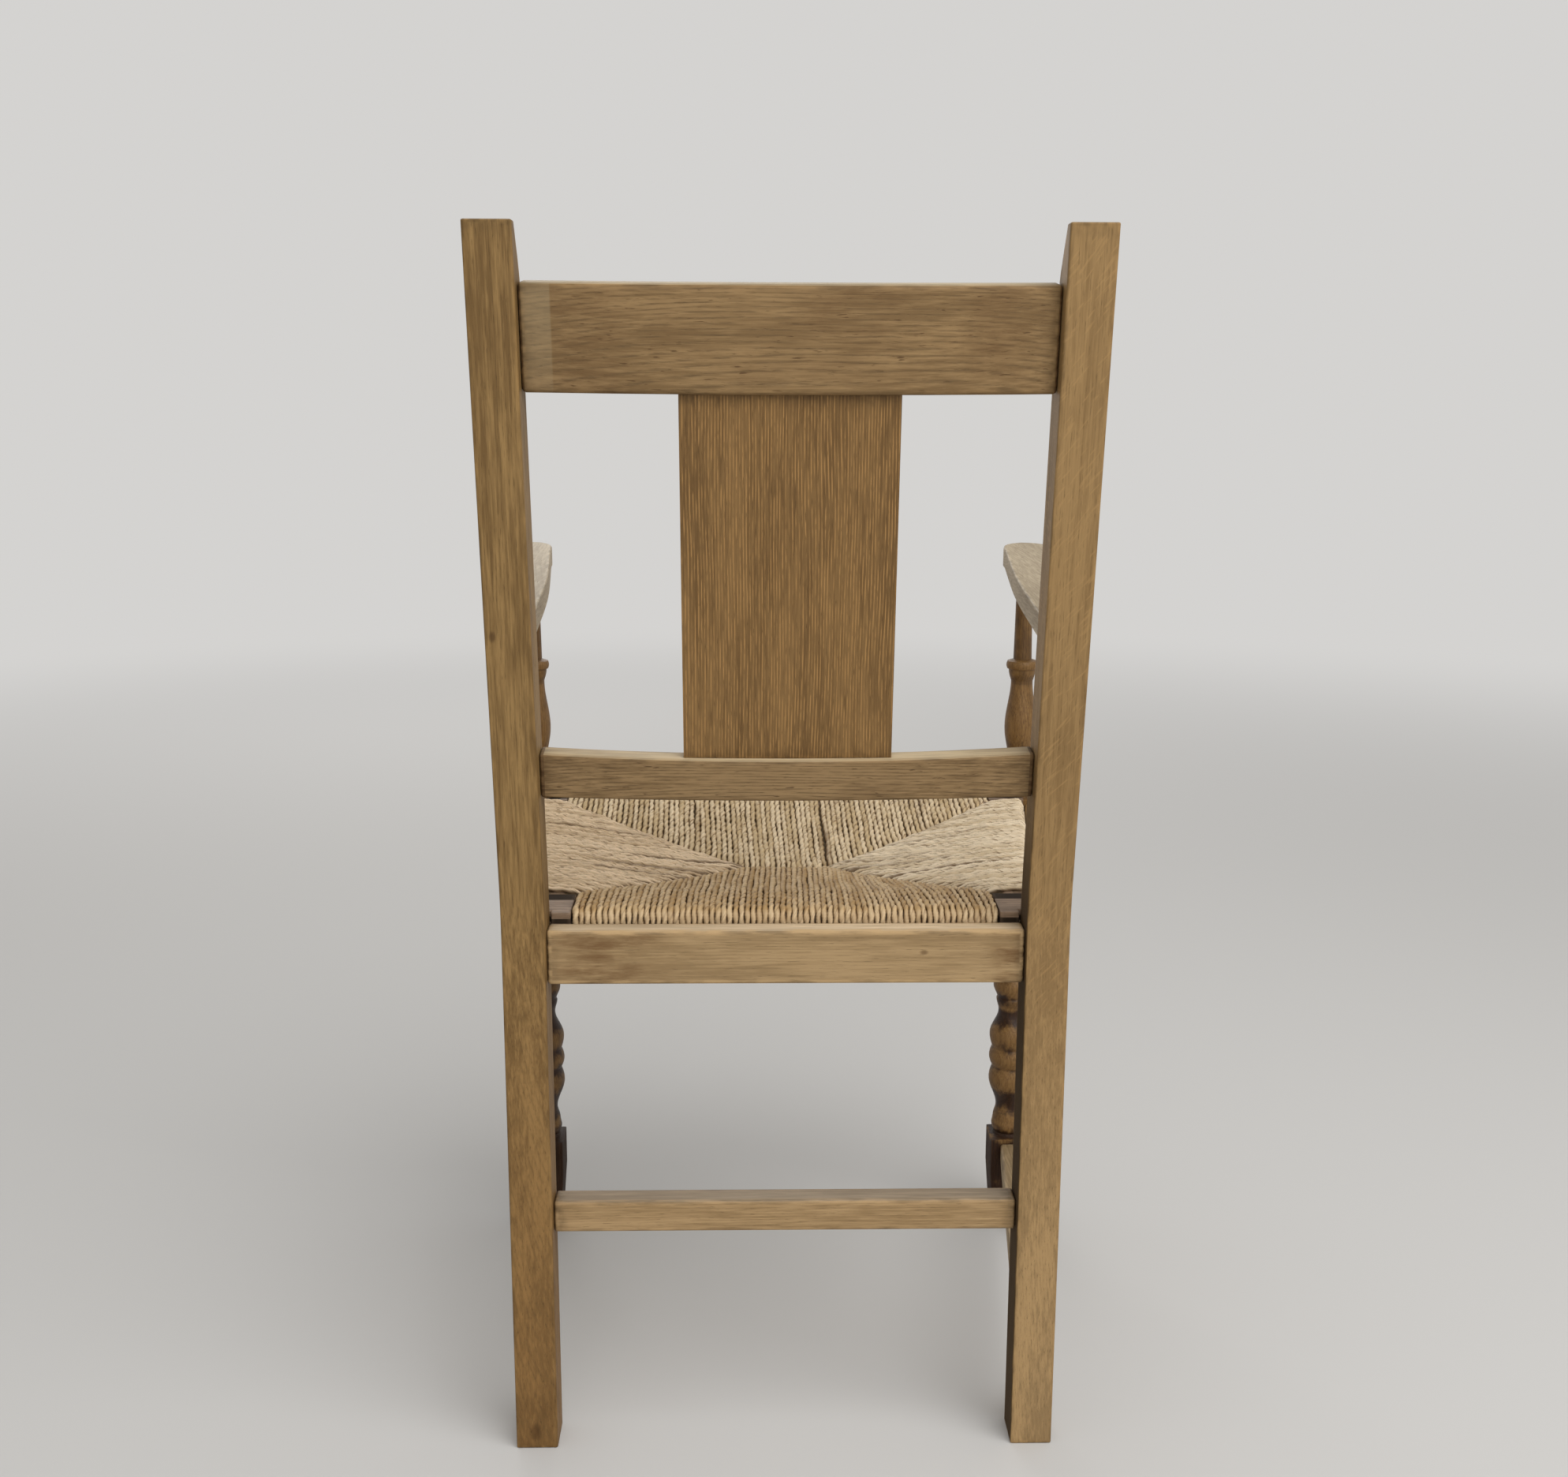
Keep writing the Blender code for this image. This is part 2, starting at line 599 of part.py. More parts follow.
def stretchers(chair):
    size = (2 * (POST_INNER - CLEARANCE), REAR_STRETCHER_THICK, REAR_STRETCHER_HEIGHT)
    centre = (0, -REAR_STRETCHER_SET_IN - REAR_STRETCHER_THICK / 2,
              REAR_STRETCHER_TOP - REAR_STRETCHER_HEIGHT / 2)
    mesh = mesh_from(box("rear_stretcher", size), "rear_stretcher")
    place("rear_stretcher", mesh, chair, (0.290, 0.165, 0.075), 0.45, centre, edge=STRETCHER_EDGE)
    length = SIDE_REAR_Y - SIDE_FRONT_Y - 2 * CLEARANCE
    middle = (SIDE_REAR_Y + SIDE_FRONT_Y) / 2
    splay = (LEG_X - POST_X) / (SIDE_REAR_Y - SIDE_FRONT_Y)
    z = SIDE_STRETCHER_TOP - SIDE_STRETCHER_HEIGHT / 2
    for side, hand in ((1, "left"), (-1, "right")):
        name = "side_stretcher_" + hand
        work = box(name, (SIDE_STRETCHER_THICK, length, SIDE_STRETCHER_HEIGHT))
        for vert in work.verts:
            vert.co.x -= side * splay * vert.co.y
        place(name, mesh_from(work, name), chair, (0.130, 0.080, 0.045), 0.5,
              (side * (POST_X + LEG_X) / 2, middle, z), edge=STRETCHER_EDGE)


def seat_side(depth):
    """Half width of the loose seat at a distance forwards from its rear edge."""
    y = SEAT_REAR_Y - depth * math.cos(SEAT_ANGLE)
    return side_rail_inner(y) - SEAT_PLAY


def seat_block(seat, side, name, outline):
    work = prism([(side * x, -depth) for x, depth in outline], SEAT_THICK)
    place(name, mesh_from(work, name), seat, (0.265, 0.205, 0.165), 0.6,
          (0, 0, -SEAT_THICK / 2), edge=SEAT_BLOCK_EDGE)


def seat_blocks(seat):
    """Corner blocks, each notched round the post or leg beside it."""
    post_notch = (POST_DEPTH + SEAT_PLAY + SEAT_REAR_Y) / math.cos(SEAT_ANGLE)
    post_side = POST_INNER - SEAT_PLAY
    rear = REAR_BLOCK_DEPTH
    leg_notch = (SEAT_REAR_Y - SIDE_FRONT_Y - SEAT_PLAY) / math.cos(SEAT_ANGLE)
    leg_side = LEG_X - LEG_HALF - SEAT_PLAY
    front = SEAT_DEPTH - FRONT_BLOCK_DEPTH
    for side, hand in ((1, "left"), (-1, "right")):
        outline = [(REAR_BLOCK_INNER, 0), (post_side, 0), (post_side, post_notch),
                   (seat_side(post_notch), post_notch), (seat_side(rear), rear),
                   (REAR_BLOCK_INNER, rear)]
        seat_block(seat, side, "seat_block_rear_" + hand, outline)
        outline = [(FRONT_BLOCK_INNER, front), (seat_side(front), front),
                   (seat_side(leg_notch), leg_notch), (leg_side, leg_notch),
                   (leg_side, SEAT_DEPTH), (FRONT_BLOCK_INNER, SEAT_DEPTH)]
        seat_block(seat, side, "seat_block_front_" + hand, outline)


def bar_outlines(grow):
    """Plan outlines of the four bars, each widened all round and shortened by the same amount."""
    edge = RUSH_STRAND - grow
    width = SEAT_BAR_WIDTH + 2 * grow
    end = CLEARANCE - grow
    rear_x = REAR_BLOCK_INNER - end
    front_x = FRONT_BLOCK_INNER - end
    near = REAR_BLOCK_DEPTH + end
    far = SEAT_DEPTH - FRONT_BLOCK_DEPTH - end
    slant = math.sqrt(1 + SIDE_SPLAY ** 2)
    outlines = {
        "rear": [(rear_x, edge), (-rear_x, edge), (-rear_x, edge + width), (rear_x, edge + width)],
        "front": [(front_x, SEAT_DEPTH - edge), (-front_x, SEAT_DEPTH - edge),
                  (-front_x, SEAT_DEPTH - edge - width), (front_x, SEAT_DEPTH - edge - width)],
    }
    for side, hand in ((1, "left"), (-1, "right")):
        outlines[hand] = [(side * (seat_side(depth) - inset * slant), depth)
                          for depth, inset in ((near, edge), (far, edge),
                                               (far, edge + width), (near, edge + width))]
    return outlines


def bar_solid(outline, grow):
    work = prism([(x, -depth) for x, depth in outline], SEAT_BAR_THICK + 2 * grow)
    centre = RUSH_PROUD - RUSH_STRAND - SEAT_BAR_THICK / 2 - CLEARANCE
    bmesh.ops.translate(work, vec=(0, 0, centre), verts=work.verts)
    return work


def seat_bars(seat):
    """The bars between the corner blocks, which the rush is wound round."""
    for hand, outline in bar_outlines(0.0).items():
        name = "seat_bar_" + hand
        mesh = mesh_from(bar_solid(outline, 0.0), name)
        place(name, mesh, seat, (0.300, 0.210, 0.130), 0.65, edge=SEAT_BAR_EDGE)


def rush_sections():
    """Each side of the rush: outer edge, line through the block corners and seam, both ends."""
    rear = REAR_BLOCK_DEPTH + RUSH_REAR_GAP
    front = SEAT_DEPTH - FRONT_BLOCK_DEPTH - RUSH_FRONT_GAP
    rear_x = REAR_BLOCK_INNER - RUSH_BLOCK_GAP
    front_x = FRONT_BLOCK_INNER - RUSH_BLOCK_GAP
    corner = {(1, "rear"): Vector((rear_x, -rear)), (-1, "rear"): Vector((-rear_x, -rear)),
              (1, "front"): Vector((front_x, -front)), (-1, "front"): Vector((-front_x, -front))}
    bridge = {1: Vector((BRIDGE_LEFT, -BRIDGE_DEPTH)), -1: Vector((-BRIDGE_RIGHT, -BRIDGE_DEPTH))}
    sections = []
    for end, depth, side in (("rear", 0.0, 1), ("front", SEAT_DEPTH, -1)):
        sections.append([(Vector((s * abs(corner[s, end].x), -depth)), corner[s, end], bridge[s])
                         for s in (side, -side)])
    for side, ends in ((-1, ("rear", "front")), (1, ("front", "rear"))):
        sections.append([(Vector((side * seat_side(-corner[side, end].y), corner[side, end].y)),
                          corner[side, end], bridge[side]) for end in ends])
    return sections


def rush_rows():
    """Cross section from the upper seam round the edge to the lower seam.

    Each row: how far from the block corners towards the seam, how far out towards the edge,
    how round the edge has turned, and its height.
    """
    crest = RUSH_PROUD
    base = -SEAT_THICK
    rows = []
    for i in range(RUSH_RINGS, 0, -1):
        share = i / RUSH_RINGS
        sink = 1 - (1 - share) ** 1.5
        rows.append((share, "ring", lerp(crest - RUSH_CORNER_FALL, -RUSH_DISH, sink), 1))
    rows.append((0.0, "ring", crest - RUSH_CORNER_FALL, 1))
    rows.append((0.5, "flap", crest - RUSH_CORNER_FALL * 0.3, 1))
    for i in range(5):
        turn = math.pi / 2 * (1 - i / 4)
        rows.append((turn, "edge", crest - RUSH_ROUND * (1 - math.sin(turn)), 1))
    for i in range(5):
        turn = math.pi / 2 * i / 4
        rows.append((turn, "edge", base + RUSH_ROUND * (1 - math.sin(turn)), -1))
    rows.append((0.0, "ring", base, -1))
    for i in range(1, RUSH_RINGS + 1):
        share = i / RUSH_RINGS
        sink = 1 - (1 - share) ** 1.5
        rows.append((share, "ring", lerp(base, base - RUSH_BELLY, sink), -1))
    return rows


def rush_point(ends, row, share):
    """One point of one side of the rush, by its row and its share of the way across."""
    (edge_a, corner_a, seam_a), (edge_b, corner_b, seam_b) = ends
    amount, kind, z, face = row
    edge = edge_a.lerp(edge_b, share)
    corner = corner_a.lerp(corner_b, share)
    if kind == "ring":
        plan = corner.lerp(seam_a.lerp(seam_b, share), amount)
        on_mitre = share in (0.0, 1.0) and 0.0 < amount < 1.0
        return Vector((*plan, z - face * RUSH_RIDGE if on_mitre else z))
    outward = (edge - corner).normalized()
    crest = edge - outward * RUSH_ROUND
    if kind == "flap":
        return Vector((*corner.lerp(crest, amount), z))
    return Vector((*(crest + outward * RUSH_ROUND * math.cos(amount)), z))


def rush_seat(seat):
    """The rush as four sides that meet on the mitres, with a tunnel for each bar."""
    work = bmesh.new()
    rows = rush_rows()
    for ends in rush_sections():
        grid = [[work.verts.new(rush_point(ends, row, i / RUSH_STEPS)) for i in range(RUSH_STEPS + 1)]
                for row in rows]
        for upper, lower in zip(grid, grid[1:]):
            for i in range(RUSH_STEPS):
                work.faces.new((upper[i], upper[i + 1], lower[i + 1], lower[i]))
        flap = [j for j, row in enumerate(rows) if row[1] != "ring"]
        reach = range(min(flap) - 1, max(flap) + 2)
        for i in (0, RUSH_STEPS):
            work.faces.new([grid[j][i] for j in reach])
    bmesh.ops.remove_doubles(work, verts=work.verts, dist=0.00002)
    rush = place("rush_seat", mesh_from(work, "rush_seat"), seat, (0.540, 0.400, 0.220), 0.75)
    for hand, outline in bar_outlines(CLEARANCE).items():
        tunnel = bpy.data.objects.new("tunnel_" + hand, mesh_from(bar_solid(outline, CLEARANCE), hand))
        CUTTERS.objects.link(tunnel)
        tunnel.parent = seat
        tunnel.hide_render = True
        tunnel.display_type = "WIRE"
        cut = rush.modifiers.new("tunnel " + hand, "BOOLEAN")
        cut.operation = "DIFFERENCE"
        cut.solver = "EXACT"
        cut.object = tunnel


def build():
    chair = empty("rush_seat_armchair", None, (0, CENTRE_SHIFT, 0))
    rear_posts(chair)
    back(chair)
    cross_seat_rails(chair)
    side_seat_rail(chair, 1, "side_seat_rail_left")
    side_seat_rail(chair, -1, "side_seat_rail_right")
    front_legs(chair)
    arm(chair, 1, "arm_left")
    arm(chair, -1, "arm_right")
    stretchers(chair)
    seat = empty("loose_seat", chair, (0, SEAT_REAR_Y, SEAT_TOP), -SEAT_ANGLE)
    seat_blocks(seat)
    seat_bars(seat)
    rush_seat(seat)


clear_scene()
PARTS = new_collection("armchair")
CUTTERS = new_collection("cutters")
WORK = new_collection("workbench")
build()
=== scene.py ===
# %% [markdown]
# # An oak armchair with a loose rush seat
# The chair's pieces arrive from the CAD model as plain solids, and this lesson dresses them. The
# seat is wound again from single strands of rush, the front legs are turned afresh as smooth round
# forms, and every piece of timber gets eased, softly shaded edges and an oak that is worked out
# through its whole thickness. Lengths are in metres, +Z is up, and the chair faces -Y.

# %% Load the chair
import math
import random

import bmesh
import bpy
from mathutils import Matrix, Vector, noise


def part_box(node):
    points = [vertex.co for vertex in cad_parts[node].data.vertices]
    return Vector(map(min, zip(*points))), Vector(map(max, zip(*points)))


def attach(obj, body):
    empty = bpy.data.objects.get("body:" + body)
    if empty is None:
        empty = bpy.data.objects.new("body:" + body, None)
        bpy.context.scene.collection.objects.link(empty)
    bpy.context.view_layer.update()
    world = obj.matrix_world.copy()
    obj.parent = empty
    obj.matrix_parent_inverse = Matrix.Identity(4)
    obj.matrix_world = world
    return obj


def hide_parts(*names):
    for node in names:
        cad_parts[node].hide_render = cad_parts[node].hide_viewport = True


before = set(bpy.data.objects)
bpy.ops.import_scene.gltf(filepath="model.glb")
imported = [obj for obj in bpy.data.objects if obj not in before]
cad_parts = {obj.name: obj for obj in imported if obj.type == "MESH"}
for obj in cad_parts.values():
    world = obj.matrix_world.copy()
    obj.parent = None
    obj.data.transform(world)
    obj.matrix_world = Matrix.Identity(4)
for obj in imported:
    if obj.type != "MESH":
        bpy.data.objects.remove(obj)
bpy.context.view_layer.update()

MM = 0.001

# %% [markdown]
# ## The camera
# The photograph was taken from behind the chair, a little above its arms. Place, turn and lens were
# found by matching the model's posts, rails and seat with the picture, so the camera's axes are
# written down as they came out, not aimed at a point.

# %% Camera at the photograph's viewing angle
def put(name, data):
    """A new object in the scene."""
    thing = bpy.data.objects.new(name, data)
    bpy.context.scene.collection.objects.link(thing)
    return thing


camera_data = bpy.data.cameras.new("camera")
camera_data.sensor_width = 36.0
camera_data.lens = 38.03
camera = put("camera", camera_data)
side = Vector((-0.999783, 0.020557, 0.003237)).normalized()
ahead = Vector((-0.020794, -0.980730, -0.194257)).normalized()
above = side.cross(ahead)
camera.matrix_world = Matrix.Translation((0.0308, 1.520476, 0.9031)) @ Matrix(
    (side, above, -ahead)).transposed().to_4x4()
bpy.context.scene.camera = camera
print("camera stands", round(camera.matrix_world.translation.y, 3), "m behind the chair's middle")

# %% [markdown]
# ## Maths with sockets
# A finish is a sum of many small patterns, and node by node that is long to write. `Value` wraps a
# socket, so that `1 - mask * 0.4` adds the Math nodes by itself. `Tree.value` adds any other node,
# from the numbers or links of its sockets and then its settings, and gives back what it puts out.
# They serve materials and Geometry Nodes alike; a `Finish` is the tree of one material.

# %% A socket that does maths, and a tree that grows nodes
class Value:
    """What a node gives out: a number to calculate with, or a vector or geometry to hand on."""

    def __init__(self, tree, socket):
        self.tree, self.socket = tree, socket

    def math(self, operation, *others):
        return self.tree.math(operation, self, *others)

    def __add__(self, other):
        return self.math("ADD", other)

    def __sub__(self, other):
        return self.math("SUBTRACT", other)

    def __mul__(self, other):
        return self.math("MULTIPLY", other)

    def __truediv__(self, other):
        return self.math("DIVIDE", other)

    def __rsub__(self, other):
        return self.tree.math("SUBTRACT", other, self)

    __radd__, __rmul__ = __add__, __mul__

    def rise(self, low, high):
        """0 below the one value, 1 above the other, and a soft step between them."""
        return self.tree.value("ShaderNodeMapRange", {
            "Value": self, "From Min": low, "From Max": high}, interpolation_type="SMOOTHSTEP")


class Tree:
    """Grows the nodes of a material or of a Geometry Nodes group."""

    def __init__(self, node_tree):
        self.nodes, self.links = node_tree.nodes, node_tree.links

    def feed(self, node, values):
        for name, value in values.items():
            value = getattr(value, "socket", value)
            if isinstance(value, bpy.types.NodeSocket):
                self.links.new(value, node.inputs[name])
            else:
                node.inputs[name].default_value = value

    def add(self, kind, values=None, **settings):
        node = self.nodes.new(kind)
        for name, setting in settings.items():
            setattr(node, name, setting)
        self.feed(node, values or {})
        return node

    def value(self, kind, values=None, output=0, **settings):
        return Value(self, self.add(kind, values, **settings).outputs[output])

    def math(self, operation, *numbers):
        return self.value("ShaderNodeMath", dict(enumerate(numbers)), operation=operation)

    def vector(self, operation, *vectors, output=0):
        return self.value("ShaderNodeVectorMath", dict(enumerate(vectors)), output,
                          operation=operation)

    def scaled(self, vector, factors):
        return self.vector("MULTIPLY", vector, factors)

    def dot(self, vector, direction):
        return self.vector("DOT_PRODUCT", vector, direction, output="Value")

    def length(self, vector):
        return self.vector("LENGTH", vector, output="Value")

    def axes(self, vector):
        return [self.value("ShaderNodeSeparateXYZ", {0: vector}, axis) for axis in "XYZ"]

    def joined(self, x, y, z=0.0):
        return self.value("ShaderNodeCombineXYZ", {0: x, 1: y, 2: z})

    def mix(self, share, low, high):
        """A colour between two colours."""
        low, high = ((*c, 1.0) if isinstance(c, (tuple, list)) else c for c in (low, high))
        return self.value("ShaderNodeMix", {0: share, 6: low, 7: high}, 2, data_type="RGBA")

    def noise(self, vector, detail=2.0, rough=0.5, sides="3D"):
        return self.value("ShaderNodeTexNoise", {
            "Vector": vector, "Scale": 1.0, "Detail": detail, "Roughness": rough},
            noise_dimensions=sides)

    def cloud(self, vector, size, detail=2.0, rough=0.5):
        """Noise whose lumps have these sizes in millimetres along X, Y and Z."""
        return self.noise(self.scaled(vector, [1 / (s * MM) for s in size]), detail, rough)

    def attribute(self, name, output="Fac"):
        """A value that the mesh stores, as a material reads it."""
        return self.value("ShaderNodeAttribute", None, output, attribute_name=name)

    def named(self, name, kind="FLOAT"):
        """A value that the mesh stores, as Geometry Nodes read it."""
        return self.value("GeometryNodeInputNamedAttribute", {"Name": name}, data_type=kind)

    def stored(self, geometry, name, value, kind="FLOAT"):
        """The geometry with a value written on every point."""
        return self.value("GeometryNodeStoreNamedAttribute", {
            "Geometry": geometry, "Name": name, "Value": value}, data_type=kind, domain="POINT")


class Finish(Tree):
    """A material's tree, with a colour that is laid on coat by coat."""

    def __init__(self, name):
        self.material = bpy.data.materials.new(name)
        self.material.use_nodes = True
        super().__init__(self.material.node_tree)

    def lay(self, share, tone):
        self.colour = self.mix(share, self.colour, tone)

    def done(self, rough, gloss, height=None, strength=0.0, relief=0.0):
        """Feeds the shader. The relief is the full depth of the bumps, in metres."""
        values = {"Base Color": self.colour, "Roughness": rough, "Specular IOR Level": gloss}
        if height:
            values["Normal"] = self.value("ShaderNodeBump", {
                "Strength": strength, "Distance": relief, "Height": height})
        self.feed(self.nodes["Principled BSDF"], values)
        return self.material


def times(colour, factor):
    """A colour made lighter or darker by one factor, or by one for each channel."""
    factors = factor if isinstance(factor, tuple) else (factor,) * 3
    return [min(1.0, c * f) for c, f in zip(colour, factors)]


# %% [markdown]
# ## Oak
# Oak has growth rings, each with a band of open pores that shows as dark dashes, fine fibres along
# the grain, and rays, thin pale ribbons from the pith outwards that catch the light where a board
# is cut along them. A flat picture of wood breaks at each edge, so this oak is solid: every point
# of a piece has a place in its timber, with Z along the grain, and the rings are circles about a
# pith that lies outside the piece. End grain, edges and faces then agree by themselves.
# On top lie what the years and the scraper left: old stain in patches, dark marks, dirt near the
# joints, and edges rubbed pale.

# %% A board's place in its log, and its growth rings
def in_the_log(tree, seed):
    """The place in the piece, the place in a log with room for all the pieces, and its noise."""
    rng = random.Random(seed)
    place = tree.attribute("timber", "Vector")
    timber = tree.vector("ADD", place, [rng.uniform(-5, 5) for _ in range(3)])
    return place, timber, lambda *look: tree.cloud(timber, *look)


def early_wood(tree, place, pith, sway, ring, end):
    """1 in the open pored part of each ring; the pith and the ring's width are in millimetres."""
    from_pith = tree.vector("ADD", tree.scaled(place, (1000, 1000, 0)), (*pith, 0))
    growth = ((tree.length(from_pith) + sway) / ring).math("FRACT")
    return growth.rise(0.0, 0.15) * (1 - growth.rise(*end))


# %% The oak finish
PATCH_TONE, GAP_SHADOW_TONE = (0.320, 0.255, 0.150), (0.016, 0.010, 0.005)
JOINT_TONE = (0.050, 0.022, 0.008)
SOOT_REACH = 14 * MM


def oak(name, mean, half_length, seed, spread=0.28, pith=(95, 30), ring=2.3, lines=0.4,
        line_tone=0.55, smoke=(), stain=0.2, marks=0.2, rays=0.0, knots=(), patch=None, foot=None,
        top=None, inner=None, gaps=None, joint=None, rubbed=0.35, dirt=0.4):
    """One board's oak. Pith and rings are in millimetres; smoke, knots and a pale patch have places
    in metres along the grain from the middle. A post's foot may have a colour of its own. The top
    colour is a painted highlight on the upper faces, and the inner colour is painted shade on the
    lower part of a face that looks to the chair's left. A block's painted shadow lines are placed
    by
    two lengths: how far in front of its middle the upper one begins, and how far below it the lower
    one lies. The joint is the width of the dark line where the board meets its neighbour."""
    tree = Finish(name)
    place, timber, cloud = in_the_log(tree, seed)
    side, depth, along = tree.axes(place)
    # Darker wood is also redder, so blue changes more than red.
    pale, deep = (times(mean, (1 + s, 1 + s * 1.1, 1 + s * 1.25)) for s in (spread, -spread))

    # Rings round the pith, fibres and streaks along the grain, and slow changes of tone.
    sway = (cloud((110, 110, 420)) - 0.5) * 16 + (cloud((14, 14, 120)) - 0.5) * 2.2
    early = early_wood(tree, place, pith, sway, ring, (0.22, 0.55))
    broken = cloud((1.6, 1.6, 24), 2.0, 0.6).rise(0.36, 0.62)
    fibre = cloud((0.8, 0.8, 40), 4.0, 0.65)
    streak = cloud((3.5, 3.5, 130), 4.0, 0.65)
    grain = cloud((2.4, 2.4, 34), 2.0, 0.55)
    tone = cloud((30, 30, 200), 3.0)
    shade = (0.5 + (fibre - 0.5) * 1.5 + (streak - 0.5) * 2.0 + (grain - 0.5) * 2.2
             + (tone - 0.5) * 2.8)
    tree.colour = tree.mix(shade, deep, pale)
    if foot:
        lower = tree.mix(shade, times(foot, 0.82), times(foot, 1.18))
        tree.lay((0 - along).rise(-0.1, half_length) * 0.999, lower)
    tree.lay(early * broken * lines, times(mean, line_tone))

    # Open pores, and the rays that catch the light.
    pore = cloud((0.7, 0.7, 9), 1.0).rise(0.60, 0.70) * (0.35 + early * 0.65)
    tree.lay(pore * 0.45, times(deep, 0.42))
    leaning = tree.joined(
        tree.dot(timber, (0.80, 0.0, 0.60)) + cloud((60, 60, 60)) * 0.012,
        depth, tree.dot(timber, (-0.60, 0.0, 0.80)))
    ray = tree.cloud(leaning, (2.0, 12, 17), 1.0).rise(0.58, 0.70) * along.rise(-0.25, -0.05)
    tree.lay(ray * rays * 0.5, times(mean, 1.45))

    # Stain, smoke, marks and knots.
    cloudy = cloud((24, 24, 60), 5.0, 0.62).rise(0.45, 0.80) * stain
    smoky = cloud((11, 11, 60), 5.0, 0.65).rise(0.34, 0.70)
    for centre, width, strength in smoke:
        near = 1 - (along - centre).math("ABSOLUTE").rise(width * 0.3, width)
        cloudy = cloudy + near * smoky * strength
    cloudy = cloudy * (0.45 + fibre * 1.1)
    tree.lay(cloudy, times(deep, (0.60, 0.50, 0.42)))
    mark = cloud((2.0, 2.0, 13), 2.0).rise(0.66, 0.76) * marks
    for across, centre, size in knots:
        bent = (side - across) * (side - across) + (along - centre) * (along - centre) * 0.35
        outside = (bent.math("SQRT") + (fibre - 0.5) * size).rise(size * 0.35, size * 1.2)
        mark = mark + (1 - outside) * 0.75
    tree.lay(mark * 0.8, times(deep, (0.34, 0.25, 0.18)))

    # What depends on where a face lies or looks.
    if patch:
        fade = along.rise(patch - 0.0008, patch + 0.0008) * (side + 0.09).rise(0.0, 0.12)
        tree.lay(fade * 0.34, PATCH_TONE)
    facing = tree.attribute("facing", "Vector")
    painted_inner_shade = seam = 0.0
    # Painted shade on the lower part of a face that looks to the chair's left.
    if inner:
        painted_inner_shade = tree.dot(facing, (1, 0, 0)).rise(0.5, 0.9) * (0.15 - along).rise(0.0, 0.2)
        tree.lay(painted_inner_shade * 0.92, inner)
    # Painted highlight: the upper faces take a lighter, greyer colour, as light from above falls on
    # them.
    if top:
        painted_top_light = tree.dot(facing, (0, 0, 1)).rise(0.25, 0.85) * (0.6 + tone * 0.6)
        upper = tree.mix(shade, times(top, 0.85), times(top, 1.15))
        tree.lay(painted_top_light * 0.85, upper)
    # Painted shadow beside a seat block: a dark band along the front of its top, where the rush
    # stands above it, and a thin one just above the rail.
    if gaps:
        level = tree.dot(facing, (0, 0, 1)).rise(0.3, 0.7)
        upper_gap_shadow = (0 - side).rise(gaps[0] - 0.002, gaps[0]) * level
        lower_gap_shadow = 1 - (depth + gaps[1]).math("ABSOLUTE").rise(0.0018, 0.0026)
        seam = (upper_gap_shadow + lower_gap_shadow).math("MINIMUM", 1.0)
        tree.lay(seam * 0.96, GAP_SHADOW_TONE)

    # Dirt at the ends; edges rubbed pale where hands reach and grimy where they don't.
    reach = along.math("ABSOLUTE")
    sooty = cloud((9, 9, 9), 3.0).rise(0.25, 0.7)
    soot = reach.rise(half_length - SOOT_REACH, half_length) * sooty * dirt
    tree.lay(soot, times(deep, 0.35))
    if joint:
        line = reach.rise(half_length - joint - 0.001, half_length - joint)
        tree.lay(line * 0.8, JOINT_TONE)
    edge = tree.attribute("edge")
    worn = cloud((5, 5, 26), 3.0).rise(0.32, 0.66)
    rub = edge.rise(0.35, 1.0) * worn * rubbed
    tree.lay(rub, times(mean, 1.45))
    grime = edge.rise(0.5, 1.0) * (1 - worn) * 0.35
    tree.lay(grime, times(deep, 0.5))

    height = fibre * 0.3 - pore * 0.9 - mark * 0.8 + streak * 0.4 - early * 0.15
    rough = 0.55 + pore * 0.2 + cloudy * 0.08 - rub * 0.08 + (seam + painted_inner_shade) * 0.4
    return tree.done(rough, 0.18, height, 0.45, 0.3 * MM)


# %% [markdown]
# ## Dressing a timber
# A CAD node is a heap of loose triangles with hard facets. A copy of it is joined up again, its
# flat faces get a narrow rim along every edge, and the shading lies flat on the faces and turns
# only over the eased corners, which is what weighing the normals by face area does.
# Three facts are stored for the oak to read: the place in the timber, how near a point is to an
# edge, where hands and cloths have rubbed the wood, and which way each face looks, because the oak
# paints light on the upper faces and shade on some others.

# %% Join, rim and mark one piece
RIM = 4 * MM
STRIP = 2.4 * MM
FLAT, SHARP = math.radians(0.4), math.radians(50)


def is_flat(face):
    """A real face of the board and not one of the narrow strips that ease its corners."""
    return face.calc_area() / face.calc_perimeter() > STRIP


def timber_axes(grain, across):
    """Rows that turn the chair's directions into the timber's: two across the grain, one along."""
    z = Vector(grain).normalized()
    x = (Vector(across) - Vector(across).dot(z) * z).normalized()
    return Matrix((x, z.cross(x), z))


def note(mesh, label, values, domain="POINT"):
    """Stores one number or one vector for each point or face of a mesh."""
    vectors = hasattr(values[0], "__len__")
    stored = mesh.attributes.new(label, "FLOAT_VECTOR" if vectors else "FLOAT", domain)
    if vectors:
        stored.data.foreach_set("vector", [x for vector in values for x in vector])
    else:
        stored.data.foreach_set("value", values)


def mark_timber(mesh, grain, across):
    """Stores each point's place in the timber, measured from the piece's middle, and the way each
    face looks. Gives back how far the piece reaches along its grain."""
    corners = [v.co.copy() for v in mesh.vertices]
    low, high = (Vector([end(c[i] for c in corners) for i in range(3)]) for end in (min, max))
    turn, middle = timber_axes(grain, across), (low + high) / 2
    places = [turn @ (c - middle) for c in corners]
    note(mesh, "timber", places)
    note(mesh, "facing", [face.normal for face in mesh.polygons], "FACE")
    return max(p.z for p in places)


